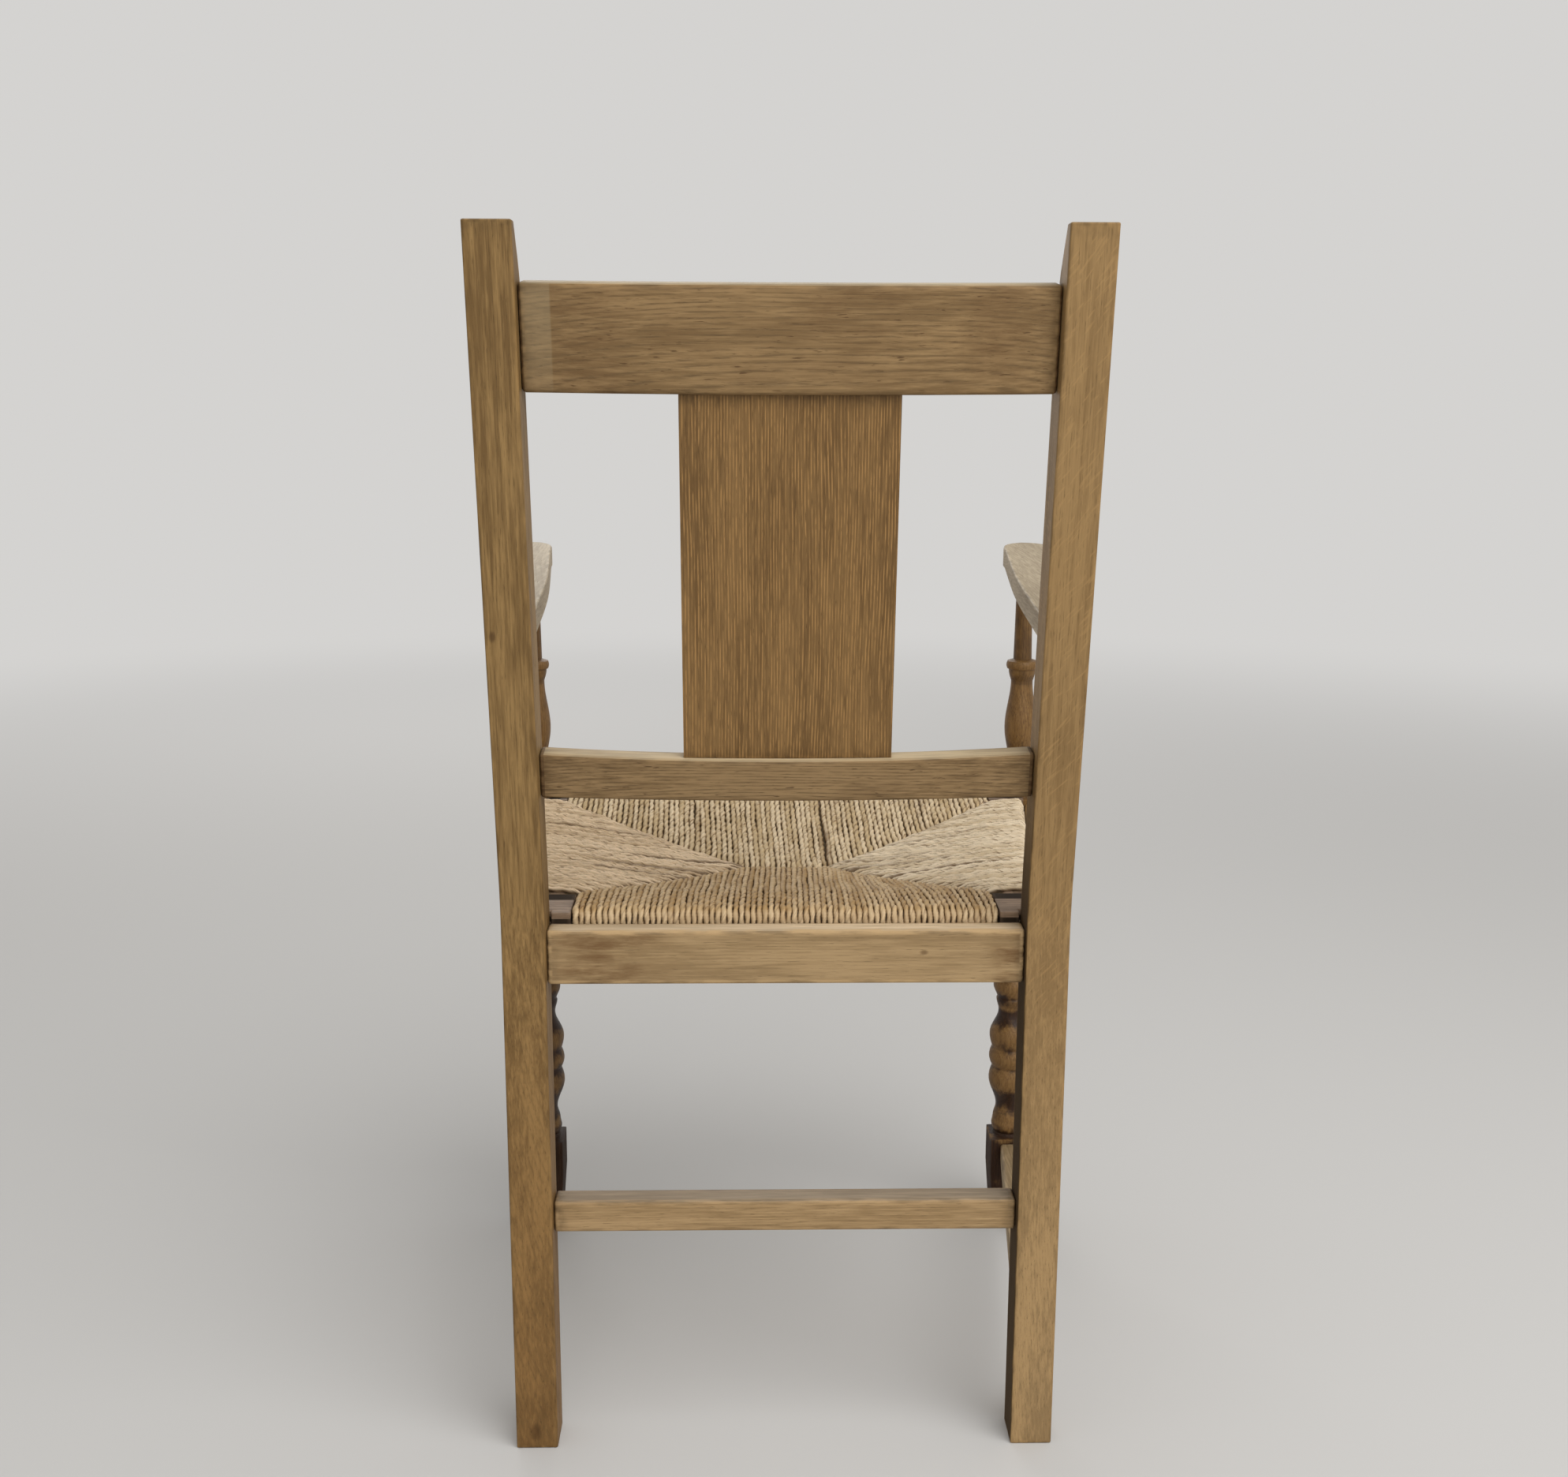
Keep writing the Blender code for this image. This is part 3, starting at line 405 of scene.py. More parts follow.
def baked(holder):
    """The plain mesh that an object shows once its modifiers have run."""
    bpy.context.view_layer.update()
    graph = bpy.context.evaluated_depsgraph_get()
    mesh = bpy.data.meshes.new_from_object(
        holder.evaluated_get(graph), preserve_all_data_layers=True, depsgraph=graph)
    mesh.name = holder.name
    old = holder.data
    bpy.data.objects.remove(holder, do_unlink=True)
    bpy.data.meshes.remove(old)
    return mesh


def dressed_mesh(node):
    """The node's mesh joined up, with a rim round its flat faces."""
    work = bmesh.new()
    edge = work.verts.layers.float.new("edge")
    work.from_mesh(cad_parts[node].data)
    bmesh.ops.remove_doubles(work, verts=work.verts, dist=0.01 * MM)
    bmesh.ops.dissolve_limit(work, angle_limit=FLAT, verts=work.verts, edges=work.edges)
    flats = [f for f in work.faces if is_flat(f)]
    bmesh.ops.inset_region(work, faces=flats, thickness=RIM, use_even_offset=True)
    inner = {v for f in flats for v in f.verts}
    for vert in work.verts:
        vert[edge] = 0.0 if vert in inner else 1.0
    mesh = bpy.data.meshes.new(node + "_dressed")
    work.to_mesh(mesh)
    work.free()
    spare = mesh.attributes.get("custom_normal")
    if spare:
        mesh.attributes.remove(spare)
    mesh.shade_smooth()
    mesh.set_sharp_from_angle(angle=SHARP)
    holder = put(node + "_dressed", mesh)
    holder.modifiers.new("faces first", "WEIGHTED_NORMAL").keep_sharp = True
    return baked(holder)


def add_piece(name, mesh, material, body, *nodes):
    """Puts a finished mesh on its body, in place of the CAD nodes that it stands for."""
    mesh.materials.clear()
    mesh.materials.append(material)
    piece = put(name, mesh)
    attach(piece, body)
    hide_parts(*nodes)


def dress(node, ending, body, grain, across, mean, seed, **look):
    """One piece of timber from the CAD node to the finished board."""
    mesh = dressed_mesh(node)
    reach = mark_timber(mesh, grain, across)
    finish = oak(node, mean, reach, seed, **look)
    add_piece(node + ending, mesh, finish, body, node)
    print(node, "dressed with", len(mesh.polygons), "faces, half its length", round(reach, 3))


# %% [markdown]
# ## The timbers
# Each line gives a piece its grain direction, the direction that its broad face looks in, its mean
# colour and what is special about its board. A star stands for left and right. The two rear posts
# came from different boards: the left one is darker with streaks, the right one smooth, with rays.
# The rails and the stretcher are paler where they were scraped.

# %% One finish for each timber
UP, BACKWARDS, LEFT = (0, 0, 1), (0, 1, 0), (1, 0, 0)
RAKED = (0, 0.15365, 0.98813)
GOLDEN, TAWNY, HONEY = (0.207, 0.123, 0.044), (0.157, 0.087, 0.030), (0.262, 0.160, 0.064)
SCRAPED, WORN = (0.302, 0.202, 0.099), (0.375, 0.298, 0.195)

# Top colours paint a highlight on upper faces; the right post's inner colour paints shade low on
# its inner face.
TIMBERS = {
    "rear_post_left": (RAKED, LEFT, GOLDEN, dict(
        pith=(60, 80), lines=0.35, stain=0.04, marks=0.35, spread=0.31, foot=(0.205, 0.110, 0.036),
        knots=((0.001, -0.500, 0.006), (0.012, 0.210, 0.003)), smoke=((-0.50, 0.05, 0.5),))),
    "rear_post_right": (RAKED, LEFT, (0.246, 0.150, 0.060), dict(
        pith=(120, 20), lines=0.2, stain=0.04, marks=0.12, rays=0.8, spread=0.16,
        inner=(0.035, 0.018, 0.004), foot=(0.320, 0.206, 0.094))),
    "top_rail": (LEFT, UP, (0.216, 0.134, 0.058), dict(
        pith=(60, 70), ring=2.6, lines=0.75, stain=0.35, marks=0.9, spread=0.22, patch=0.177,
        joint=0.0015, top=(0.42, 0.34, 0.22),
        smoke=((0.155, 0.045, 0.5), (-0.04, 0.05, 0.25), (-0.155, 0.035, 0.4)))),
    "lower_back_rail": (LEFT, UP, (0.186, 0.116, 0.052), dict(
        pith=(70, 60), ring=2.0, lines=0.7, line_tone=0.45, stain=0.3, marks=0.9, spread=0.34,
        joint=0.003, top=(0.46, 0.36, 0.22))),
    "back_splat": (RAKED, LEFT, TAWNY, dict(
        pith=(160, 12), ring=2.4, lines=1.0, line_tone=2.15, stain=0.05, marks=0.04, spread=0.20)),
    # Its strong rubbing is partly wear and partly a painted highlight along the rail's top arris.
    "rear_seat_rail": (LEFT, UP, SCRAPED, dict(
        pith=(70, 70), lines=0.25, stain=0.06, marks=0.12, spread=0.17, rubbed=0.9, joint=0.001,
        knots=((0.004, -0.116, 0.0024),), smoke=((0.150, 0.065, 1.0), (-0.187, 0.022, 1.1)),
        top=(0.68, 0.53, 0.35))),
    "front_seat_rail": (LEFT, UP, SCRAPED, dict(pith=(70, 70), lines=0.3, stain=0.25)),
    "side_seat_rail_*": (BACKWARDS, UP, HONEY, dict(pith=(80, 60))),
    "arm_*": (BACKWARDS, LEFT, WORN, dict(
        pith=(60, 90), rubbed=0.5, lines=0.35, spread=0.17, stain=0.08)),
    "rear_stretcher": (LEFT, UP, (0.318, 0.208, 0.100), dict(
        pith=(90, 40), lines=0.3, stain=0.08, marks=0.1, spread=0.20, dirt=0.8, joint=0.001,
        top=(0.29, 0.24, 0.18))),
    "side_stretcher_*": (BACKWARDS, UP, (0.30, 0.215, 0.115), dict(pith=(90, 40), stain=0.3)),
}
HANDS = ("left", "right")
boards = [(name.replace("*", hand), *look) for name, look in TIMBERS.items()
          for hand in (HANDS if "*" in name else ("",))]
for seed, (node, grain, across, mean, look) in enumerate(boards):
    dress(node, "_oak", "frame", grain, across, mean, seed, **look)

# %% [markdown]
# ## The front legs
# A front leg starts as a square blank. The turner leaves it square where a rail or a stretcher is
# let in, and turns the rest. At any height and in any direction the surface is therefore either the
# blank's or the turned profile's, whichever lies nearer the middle. Geometry Nodes say just that: a
# fine tube is swept up the leg, and each point moves in to the smaller of the two radii. The top
# is cut to the slope of the arm that lies on it.

# %% Profile of the turning, from the floor to the arm
BLOCK, BLANK, FOOT = 43.2, 49.0, 34.0
LOWER_BLOCK = (65, 105)
UPPER_BLOCK = (441, 495)
MIDDLE_BEAD = 280
SHOULDER, FOOT_EDGE = 1.2, 1.5
FINE = 1.4
TOP_RADIUS = 8.1
ARM_RISE = 0.0446
ARM_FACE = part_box("front_leg_left")[1].z / MM - ARM_RISE * TOP_RADIUS
# Each station has a height (a share of the half leg, or millimetres), a radius and a kind of run.
HALF_LEG = (
    (0.000, 17.2, "line"), (0.018, 16.3, "line"), (0.068, 18.9, "round"), (0.086, 18.2, "line"),
    (0.112, 17.5, "line"), (0.194, 14.6, "swell"), (0.377, 23.2, "swell"), (0.457, 19.9, "round"),
    (0.523, 23.4, "round"), (0.586, 20.4, "round"), (0.669, 23.4, "round"), (0.831, 14.3, "swell"),
    (0.909, 17.0, "swell"), (0.920, 15.8, "line"), (0.945, 17.6, "line"), (1.000, 20.6, "round"))
SUPPORT = (
    (0, 17.2, "line"), (4, 16.4, "line"), (12, 17.8, "round"), (19, 15.2, "round"),
    (34, 11.6, "swell"), (76, 17.0, "swell"), (126, 11.5, "swell"), (138, 14.2, "round"),
    (139, 16.0, "line"), (143, 16.9, "round"), (147, 15.8, "round"), (149, 9.7, "line"))


def turned(stations, start, length):
    """Heights and radii: each run is straight, an S curve, or a quarter round."""
    points = [(start + length * stations[0][0], stations[0][1])]
    for share, radius, shape in stations[1:]:
        z = start + length * share
        last_z, last = points[-1]
        steps = max(1, round(abs(z - last_z) / FINE)) if shape != "line" else 1
        for i in range(1, steps + 1):
            part = i / steps
            if shape == "swell":
                grown = (1 - math.cos(math.pi * part)) / 2
            elif shape == "round":
                turn = math.pi / 2 * part
                grown = math.sin(turn) if radius > last else 1 - math.cos(turn)
            else:
                grown = part
            points.append((last_z + (z - last_z) * part, last + (radius - last) * grown))
    return points


wide = BLOCK * 0.75
lower = turned(HALF_LEG, LOWER_BLOCK[1], MIDDLE_BEAD - LOWER_BLOCK[1])
upper = turned(HALF_LEG, UPPER_BLOCK[0], MIDDLE_BEAD - UPPER_BLOCK[0])[-2::-1]
support = turned(SUPPORT, UPPER_BLOCK[1], 1.0)
foot = [(z, wide) for z in (0.0, FOOT_EDGE, LOWER_BLOCK[0], 85, LOWER_BLOCK[1] - SHOULDER)]
block = [(z, wide) for z in (UPPER_BLOCK[0] + SHOULDER, 468, UPPER_BLOCK[1] - SHOULDER)]
leg_profile = foot + lower + upper + block + support + [(ARM_FACE, TOP_RADIUS)]
print("the leg's profile has", len(leg_profile), "points")

# %% Half width of the blank, and how deep each point lies in a hollow
GROOVE_REACH, GROOVE_DEPTH = 16, 6.0


def blank_half(z):
    if z <= FOOT_EDGE:
        return (FOOT / 2 - SHOULDER) + SHOULDER * z / FOOT_EDGE
    if z <= LOWER_BLOCK[0]:
        return FOOT / 2 + (BLOCK - FOOT) / 2 * z / LOWER_BLOCK[0]
    square = z <= LOWER_BLOCK[1] or UPPER_BLOCK[0] <= z <= UPPER_BLOCK[1]
    return (BLOCK if square else BLANK) / 2


def hollow(z):
    """0 on the beads and 1 in the grooves, by the widest turning within reach."""
    near = [min(r, blank_half(h)) for h, r in leg_profile if abs(h - z) < GROOVE_REACH]
    here = min((abs(h - z), min(r, blank_half(h))) for h, r in leg_profile)[1]
    return min(1.0, max(0.0, (max(near) - here) / GROOVE_DEPTH))


# %% A tree that shapes a leg
def new_group(name, sockets):
    """A Geometry Nodes group with inputs given as name: (type, value), its tree and its inputs."""
    group = bpy.data.node_groups.new(name, "GeometryNodeTree")
    group.interface.new_socket("Geometry", in_out="INPUT", socket_type="NodeSocketGeometry")
    for label, (kind, default) in sockets.items():
        socket = group.interface.new_socket(label, in_out="INPUT", socket_type="NodeSocket" + kind)
        if default is not None:
            socket.default_value = default
    group.interface.new_socket("Geometry", in_out="OUTPUT", socket_type="NodeSocketGeometry")
    tree = Tree(group)
    sockets = tree.add("NodeGroupInput").outputs
    return group, tree, {socket.name: Value(tree, socket) for socket in sockets}


def grown(name, guide, group, inputs):
    """Runs a Geometry Nodes group on a guide mesh and gives back the plain mesh it makes."""
    holder = put(name, guide)
    modifier = holder.modifiers.new(name, "NODES")
    modifier.node_group = group
    for item in group.interface.items_tree:
        if item.in_out == "INPUT" and item.name in inputs:
            modifier[item.identifier] = inputs[item.name]
    return baked(holder)


def circle(tree, sides):
    return tree.value("GeometryNodeCurvePrimitiveCircle", {"Resolution": sides, "Radius": 1.0},
                      mode="RADIUS")


def end_group(tree, geometry, material):
    """The end of every group: real geometry with its material."""
    solid = tree.value("GeometryNodeRealizeInstances", {0: geometry})
    coated = tree.value("GeometryNodeSetMaterial", {"Geometry": solid, "Material": material})
    tree.add("NodeGroupOutput", {0: coated})


leg_group, tree, given = new_group("turned_from_a_blank", {
    "Sides": ("Int", 64), "Corner Sharpness": ("Float", 26.0), "Material": ("Material", None)})
path = tree.value("GeometryNodeMeshToCurve", {0: given["Geometry"]})
tube = tree.value("GeometryNodeCurveToMesh", {
    "Curve": path, "Profile Curve": circle(tree, given["Sides"]), "Fill Caps": True})
x, y, z = tree.axes(tree.value("GeometryNodeInputPosition"))
away = (x * x + y * y).math("SQRT").math("MAXIMUM", 0.0001)
x, y = x / away, y / away
sharp = given["Corner Sharpness"]
square = (x.math("ABSOLUTE").math("POWER", sharp) + y.math("ABSOLUTE").math("POWER", sharp)).math(
    "POWER", tree.math("DIVIDE", -1.0, sharp))
reach = tree.named("turning").math("MINIMUM", tree.named("blank") * square)
shaped = tree.value("GeometryNodeSetPosition", {
    "Geometry": tube, "Position": tree.joined(x * reach, y * reach, z)})
end_group(tree, shaped, given["Material"])


# %% [markdown]
# The legs were given a dark stain once. Cleaning took the stain off the swellings and left it in
# the grooves and on the foot, so the leg's oak runs from a reddish dark brown in the hollows to a
# plain brown on the beads. Below the seat the whole leg is darker, and the left leg also carries
# painted shadow there, the shadow of the rear post.

# %% The finish of a turned leg
def turned_oak(name, half_length, painted_shade, seed):
    """Oak with dark stain in its grooves, darker below the seat; the last argument adds painted
    shadow below the seat.
    """
    tree = Finish(name)
    place, timber, cloud = in_the_log(tree, seed)
    height = tree.axes(place)[2] + half_length
    fibre = cloud((0.8, 0.8, 30), 4.0, 0.65)
    pore = cloud((0.6, 0.6, 8), 1.0).rise(0.56, 0.66)
    sway = cloud((30, 30, 200)) * 9
    early = early_wood(tree, place, (40, 25), sway, 2.8, (0.35, 0.8))
    groove = tree.attribute("hollow")
    below = 1 - height.rise(0.43, 0.47)
    block = 1 - height.rise(0.095, 0.115)
    blotch = cloud((13, 13, 20), 3.0, 0.6)
    # Stain in the grooves, in blotches and on the foot, painted shadow below the seat, and all of
    # it stronger below the seat.
    stain_and_shade = (groove * 0.75 + (blotch - 0.5) * 1.5 + 0.75 * block + painted_shade * below).rise(
        0.15, 0.66) * (0.45 + 0.55 * below)
    shade = fibre.rise(0.2, 0.8) * 0.6 + 0.25 - early * 0.18
    bare = tree.mix(shade, (0.110, 0.052, 0.014), (0.270, 0.152, 0.052))
    stain_and_shade_tone = tree.mix(shade, (0.008, 0.002, 0.001), (0.034, 0.012, 0.004))
    tree.colour = tree.mix(stain_and_shade * 0.95, bare, stain_and_shade_tone)
    tree.lay(pore * 0.35, (0.03, 0.015, 0.007))
    rough = 0.44 + pore * 0.2 - stain_and_shade * 0.06 + block * 0.4
    return tree.done(rough, 0.25, fibre * 0.3 - pore + blotch * 0.5, 0.4, 0.3 * MM)


# %% Turn both legs
# Painted shadow below the seat: the rear post's shadow on the left leg.
LEG_PAINTED_SHADE = {"left": 0.28, "right": 0.0}
for seed, hand in enumerate(HANDS):
    node = "front_leg_" + hand
    low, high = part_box(node)
    centre = (low + high) / 2
    guide = bpy.data.meshes.new("leg_line")
    guide.from_pydata([(0, 0, z * MM) for z, r in leg_profile],
                      [(i, i + 1) for i in range(len(leg_profile) - 1)], [])
    note(guide, "turning", [r * MM for z, r in leg_profile])
    note(guide, "blank", [blank_half(z) * MM for z, r in leg_profile])
    note(guide, "hollow", [hollow(z) for z, r in leg_profile])
    finish = turned_oak(node, leg_profile[-1][0] * MM / 2, LEG_PAINTED_SHADE[hand], 40 + seed)
    mesh = grown(node + "_turned", guide, leg_group, {"Material": finish})
    for vertex in mesh.vertices:
        if vertex.co.z > (ARM_FACE - 0.1) * MM:
            vertex.co.z -= ARM_RISE * vertex.co.y
    mesh.transform(Matrix.Translation((centre.x, centre.y, 0)))
    mesh.shade_smooth()
    mesh.set_sharp_from_angle(angle=math.radians(38))
    mark_timber(mesh, UP, LEFT)
    add_piece(node + "_turned", mesh, finish, "frame", node)
    print(node, "turned with", len(mesh.polygons), "faces; CAD top at", round(high.z, 4))

# %% [markdown]
# ## The seat's own blocks and bars
# The loose seat is a frame too. Its corner blocks show beside the rush as bare greyed wood, with
# painted shadow in the gaps along the rush and along the rail. Its bars are hidden by the rush.

# %% Blocks and bars
SEAT_WOOD = (0.236, 0.160, 0.104)
UPPER_GAP_SHADOW, LOWER_GAP_SHADOW = 16 * MM, 1.2 * MM
rail_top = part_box("rear_seat_rail")[1].z
for seed, place in enumerate(("rear_left", "rear_right", "front_left", "front_right")):
    node = "seat_block_" + place
    low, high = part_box(node)
    gaps = (high.y - low.y) / 2 - UPPER_GAP_SHADOW, (low.z + high.z) / 2 - rail_top - LOWER_GAP_SHADOW
    dress(node, "_wood", "loose_seat", LEFT, BACKWARDS, SEAT_WOOD, 60 + seed, gaps=gaps,
          spread=0.3, stain=0.5, marks=0.3, rubbed=0.1, dirt=0.35)
for seed, place in enumerate(("rear", "front", "left", "right")):
    grain = BACKWARDS if place in HANDS else LEFT
    dress("seat_bar_" + place, "_wood", "loose_seat", grain, UP, SEAT_WOOD, 70 + seed)

# %% [markdown]
# ## The rush
# Damp rush leaves are twisted into one long cord while the seat is woven. The cord comes over one
# bar, goes to the mitre, dives, comes up over the next bar, and so on round and round, so each side
# of the seat is a row of cords at right angles to its bar, and the rows meet on four mitres and a
# seam. Both faces look alike. Here each cord's line is worked out from its place in the row: from
# the mitre out over the padding, round the bar, and back to the mitre below.

# %% Sizes of the seat, in its own plane: X across, depth forwards from its rear edge
# SEAT_BACK and the depths in RAIL_REAR and RAIL_FRONT are counted from the posts' rear faces. Their
# second numbers are half the width between the side rails, at the rear taken 1.5 mm too small.
SEAT_TILT = math.atan(0.038)
POST_REAR, SEAT_BACK = 0.197876, 0.0315
RAIL_TOP, SEAT_PROUD = 0.4755, 0.0085
RAIL_REAR, RAIL_FRONT, CLEARANCE = (0.0368, 0.2160), (0.4009, 0.2636), 1.5 * MM
SEAT_CORNER = Vector((0, POST_REAR - SEAT_BACK, RAIL_TOP + SEAT_PROUD))
SEAT_PLACE = Matrix.Translation(SEAT_CORNER) @ Matrix.Rotation(-SEAT_TILT, 4, "X")
SEAT_DEPTH = 0.38037
REAR_CORNER = Vector((0.1815, 0.0605))
FRONT_CORNER = Vector((0.2225, 0.35637))
SEAM_DEPTH = 0.197
SEAM_ENDS = {1: 0.035, -1: -0.0445}
CREST, BASE = 3.5 * MM, -23 * MM
ROUND = 9 * MM
DISH, BELLY, CORNER_FALL = -19.5 * MM, 17.5 * MM, 2.5 * MM
CORD = 2.45 * MM
SIDES = {"left": 1, "right": -1}
MITRE_CORDS = {"rear": 28, "front": 34}
SEAM_CORDS = 16
ASKEW = 0.09


def seat_half_width(depth):
    """The side edges of the seat follow the rails, which spread towards the front."""
    level = SEAT_BACK + depth * math.cos(SEAT_TILT)
    share = (level - RAIL_REAR[0]) / (RAIL_FRONT[0] - RAIL_REAR[0])
    return RAIL_REAR[1] + (RAIL_FRONT[1] - RAIL_REAR[1]) * share - CLEARANCE


low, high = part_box("rush_seat")
print("the CAD rush is", round((high.x - low.x) / 2, 4), "m to each side; the cords reach",
      round(seat_half_width(FRONT_CORNER.y), 4))

# %% Where a cord starts on the mitre or seam, and where it goes over the bar
def corner(side, end):
    at = REAR_CORNER if end == "rear" else FRONT_CORNER
    return Vector((side * at.x, at.y))


def mitre(side, end, shares):
    """Points on the line from a corner block to the seam."""
    return [corner(side, end).lerp(Vector((SEAM_ENDS[side], SEAM_DEPTH)), s) for s in shares]


def row_starts(part, shares):
    """Starts along one side of the seat: mitre, seam where there is one, other mitre."""
    if part in SIDES:
        rear, front = (shares(MITRE_CORDS[end]) for end in ("rear", "front"))
        side = SIDES[part]
        return mitre(side, "rear", rear) + mitre(side, "front", [1 - s for s in front])
    first, seam, last = shares(MITRE_CORDS[part]), shares(SEAM_CORDS), shares(MITRE_CORDS[part])
    if part == "rear":  # The row was pulled askew, towards the seam.
        last = [s - ASKEW * math.sin(math.pi * s) for s in last]
    begin, length = SEAM_ENDS[1], SEAM_ENDS[-1] - SEAM_ENDS[1]
    return (mitre(1, part, first) + [Vector((begin + length * s, SEAM_DEPTH)) for s in seam]
            + mitre(-1, part, [1 - s for s in last]))


def edge_point(part, share):
    """Where the row meets the seat's outer edge; the cords are spread evenly over the bar."""
    if part in SIDES:
        depth = REAR_CORNER.y + (FRONT_CORNER.y - REAR_CORNER.y) * share
        return Vector((SIDES[part] * seat_half_width(depth), depth))
    x = corner(1, part).x * (1 - 2 * share)
    return Vector((x, 0.0 if part == "rear" else SEAT_DEPTH))


def forward(y):
    """0 at the inner corners of the rear blocks, 1 at those of the front ones."""
    return (y - REAR_CORNER.y) / (FRONT_CORNER.y - REAR_CORNER.y)


def block_line(y):
    """Distance from the middle to the line through the blocks' inner corners on one side."""
    return REAR_CORNER.x + (FRONT_CORNER.x - REAR_CORNER.x) * forward(y)


def inwardness(part, point):
    """0 on the line through the corner blocks' inner corners, 1 on the seam."""
    if part == "rear":
        return (point.y - REAR_CORNER.y) / (SEAM_DEPTH - REAR_CORNER.y)
    if part == "front":
        return (FRONT_CORNER.y - point.y) / (FRONT_CORNER.y - SEAM_DEPTH)
    side = SIDES[part]
    return (block_line(point.y) - side * point.x) / (
        block_line(SEAM_DEPTH) - side * SEAM_ENDS[side])


def padded_height(part, point, face):
    """Height of the outside of the rush at a plan point, on the upper (1) or lower (-1) face."""
    inward = inwardness(part, point)
    edge, target, fall = (CREST, DISH, CORNER_FALL) if face > 0 else (BASE, BASE - BELLY, 0.0)
    if inward <= 0:
        return edge - fall * min(1.0, 1 + inward / 0.25) if inward > -0.25 else edge
    sink = 1 - (1 - min(inward, 1.0)) ** 1.5
    return (edge - fall) + (target - edge + fall) * sink


# %% [markdown]
# The cord lies in one upright plane from the mitre to the bar. Its end dives by a cord's thickness
# and runs on a little below the neighbours, which makes the herringbone along the mitres, and it
# is dragged a little to one side by the next cord. Here and there the rows have parted, and a cord
# wanders by a fraction of its width, as hand work does. Each point also keeps the direction that
# the seat faces there and how near it lies to a split, because the finish paints shade on a cord's
# flanks and on the cords beside a split.

# %% The line of one cord
# A split has a place in its row, a push in millimetres, and a reach along the row.
SPLITS = {
    "left": ((0.455, 3.2, 0.012), (0.35, 2.0, 0.010), (0.28, 1.2, 0.012), (0.70, 1.0, 0.02)),
    "right": ((0.285, 2.6, 0.012), (0.40, 1.6, 0.010), (0.47, 1.8, 0.010), (0.62, 1.0, 0.02)),
    "front": ((0.597, 1.6, 0.010), (0.83, 0.8, 0.008), (0.30, 0.5, 0.008)),
    "rear": ((0.733, 1.0, 0.008), (0.25, 0.7, 0.008), (0.48, 0.4, 0.006))}
RESTLESS = {"rear": 1.15, "front": 1.1, "left": 1.45, "right": 1.45}
DRAG = {"rear": 1.0, "front": -1.0}
SALT = {"rear": 0, "front": 60, "left": 120, "right": 180}
TURNS = [math.pi / 2 * i / 5 for i in range(1, 6)]
STEP, TUCK = 3.5 * MM, 3 * MM
DIVE, DIVE_REACH = 2.6, 5 * MM
HOOK, HOOK_REACH = 2.2 * MM, 9 * MM


def parted(part, share):
    """How far the splits push the cord at this place in the row to one side."""
    shift = 0.0
    for place, push, reach in SPLITS[part]:
        gap = (share - place) / reach
        shift += push * MM * math.copysign(math.exp(-abs(gap)), gap)
    return shift


def darkened(part, share, s):
    """How high the painted shade of a split climbs up the cords beside it; it ends towards the bar.
    """
    beside = max(max(0.0, 1 - abs(share - place) / 0.014) * min(1.0, push / 2)
                 for place, push, reach in SPLITS[part])
    return beside * min(1.0, max(0.0, (130 * MM - s) / (50 * MM)))


def cord_line(part, index, share, start, radius):
    """Points of one cord a radius inside the padded outline, the way the seat faces there, and how
    far the painted shade of a split covers it."""
    end = edge_point(part, share)
    run = end - start
    outward = run.normalized()
    across = Vector((-outward.y, outward.x))
    if part in SIDES:
        drag = (across if across.y < 0 else -across) * (1.0 if start.y < SEAM_DEPTH else 0.3)
    else:
        inwards = across if across.x * start.x < 0 else -across
        drag = inwards * DRAG[part] * min(1.0, abs(start.x) / (60 * MM))
    length, turn = run.length - ROUND, ROUND - radius
    steps = max(3, round((length + TUCK) / STEP))
    flat = [-TUCK + (length + TUCK) * i / steps for i in range(steps + 1)]
    top, bottom = ([(s, padded_height(part, start + outward * max(s, 0.0), face) - face * (
        radius + math.exp(-(s + TUCK) / DIVE_REACH) * DIVE * radius), (0.0, face)) for s in flat]
        for face in (1, -1))
    over, under = ([(length + turn * math.sin(a), middle + face * turn * math.cos(a),
                     (math.sin(a), face * math.cos(a))) for a in TURNS]
                   for middle, face in ((CREST - ROUND, 1), (BASE + ROUND, -1)))
    salt = SALT[part] + index * 0.61
    points, faces, darks = [], [], []
    for s, z, (out, up) in top + over + under[::-1] + bottom[::-1]:
        free = min(1.0, max(0.0, (length + ROUND * 0.5 - s) / (30 * MM)))
        wave = (noise.noise(Vector((salt, s * 22, 0.0))) + noise.noise(
            Vector((salt, s * 75, 4.0))) * 0.4) * RESTLESS[part] * MM
        lift = noise.noise(Vector((salt, s * 30, 7.7))) * RESTLESS[part] ** 2 * 0.55 * MM
        hook = math.exp(-max(s + TUCK, 0.0) / HOOK_REACH) * HOOK
        split = parted(part, share) * min(1.0, max(0.0, s / (45 * MM)))
        plan = start + outward * s + across * (wave + split) * free + drag * hook
        points.append(Vector((plan.x, -plan.y, z + lift * (1 if up >= 0 else -1))))
        faces.append(Vector((outward.x * out, -outward.y * out, up)))
        darks.append(darkened(part, share, s))
    return points, faces, darks


def evenly(count):
    return [(i + 0.5) / count for i in range(count)]


# %% [markdown]
# A cord is two twisted plies, so its section is a rounded figure of eight that turns as it goes
# along. Geometry Nodes make the whole row from its lines: resample, thicken unevenly, twist, and
# sweep. The tree stores what the finish needs: how far along the cord a point is, how far round,
# and how far it looks the way that the seat does.

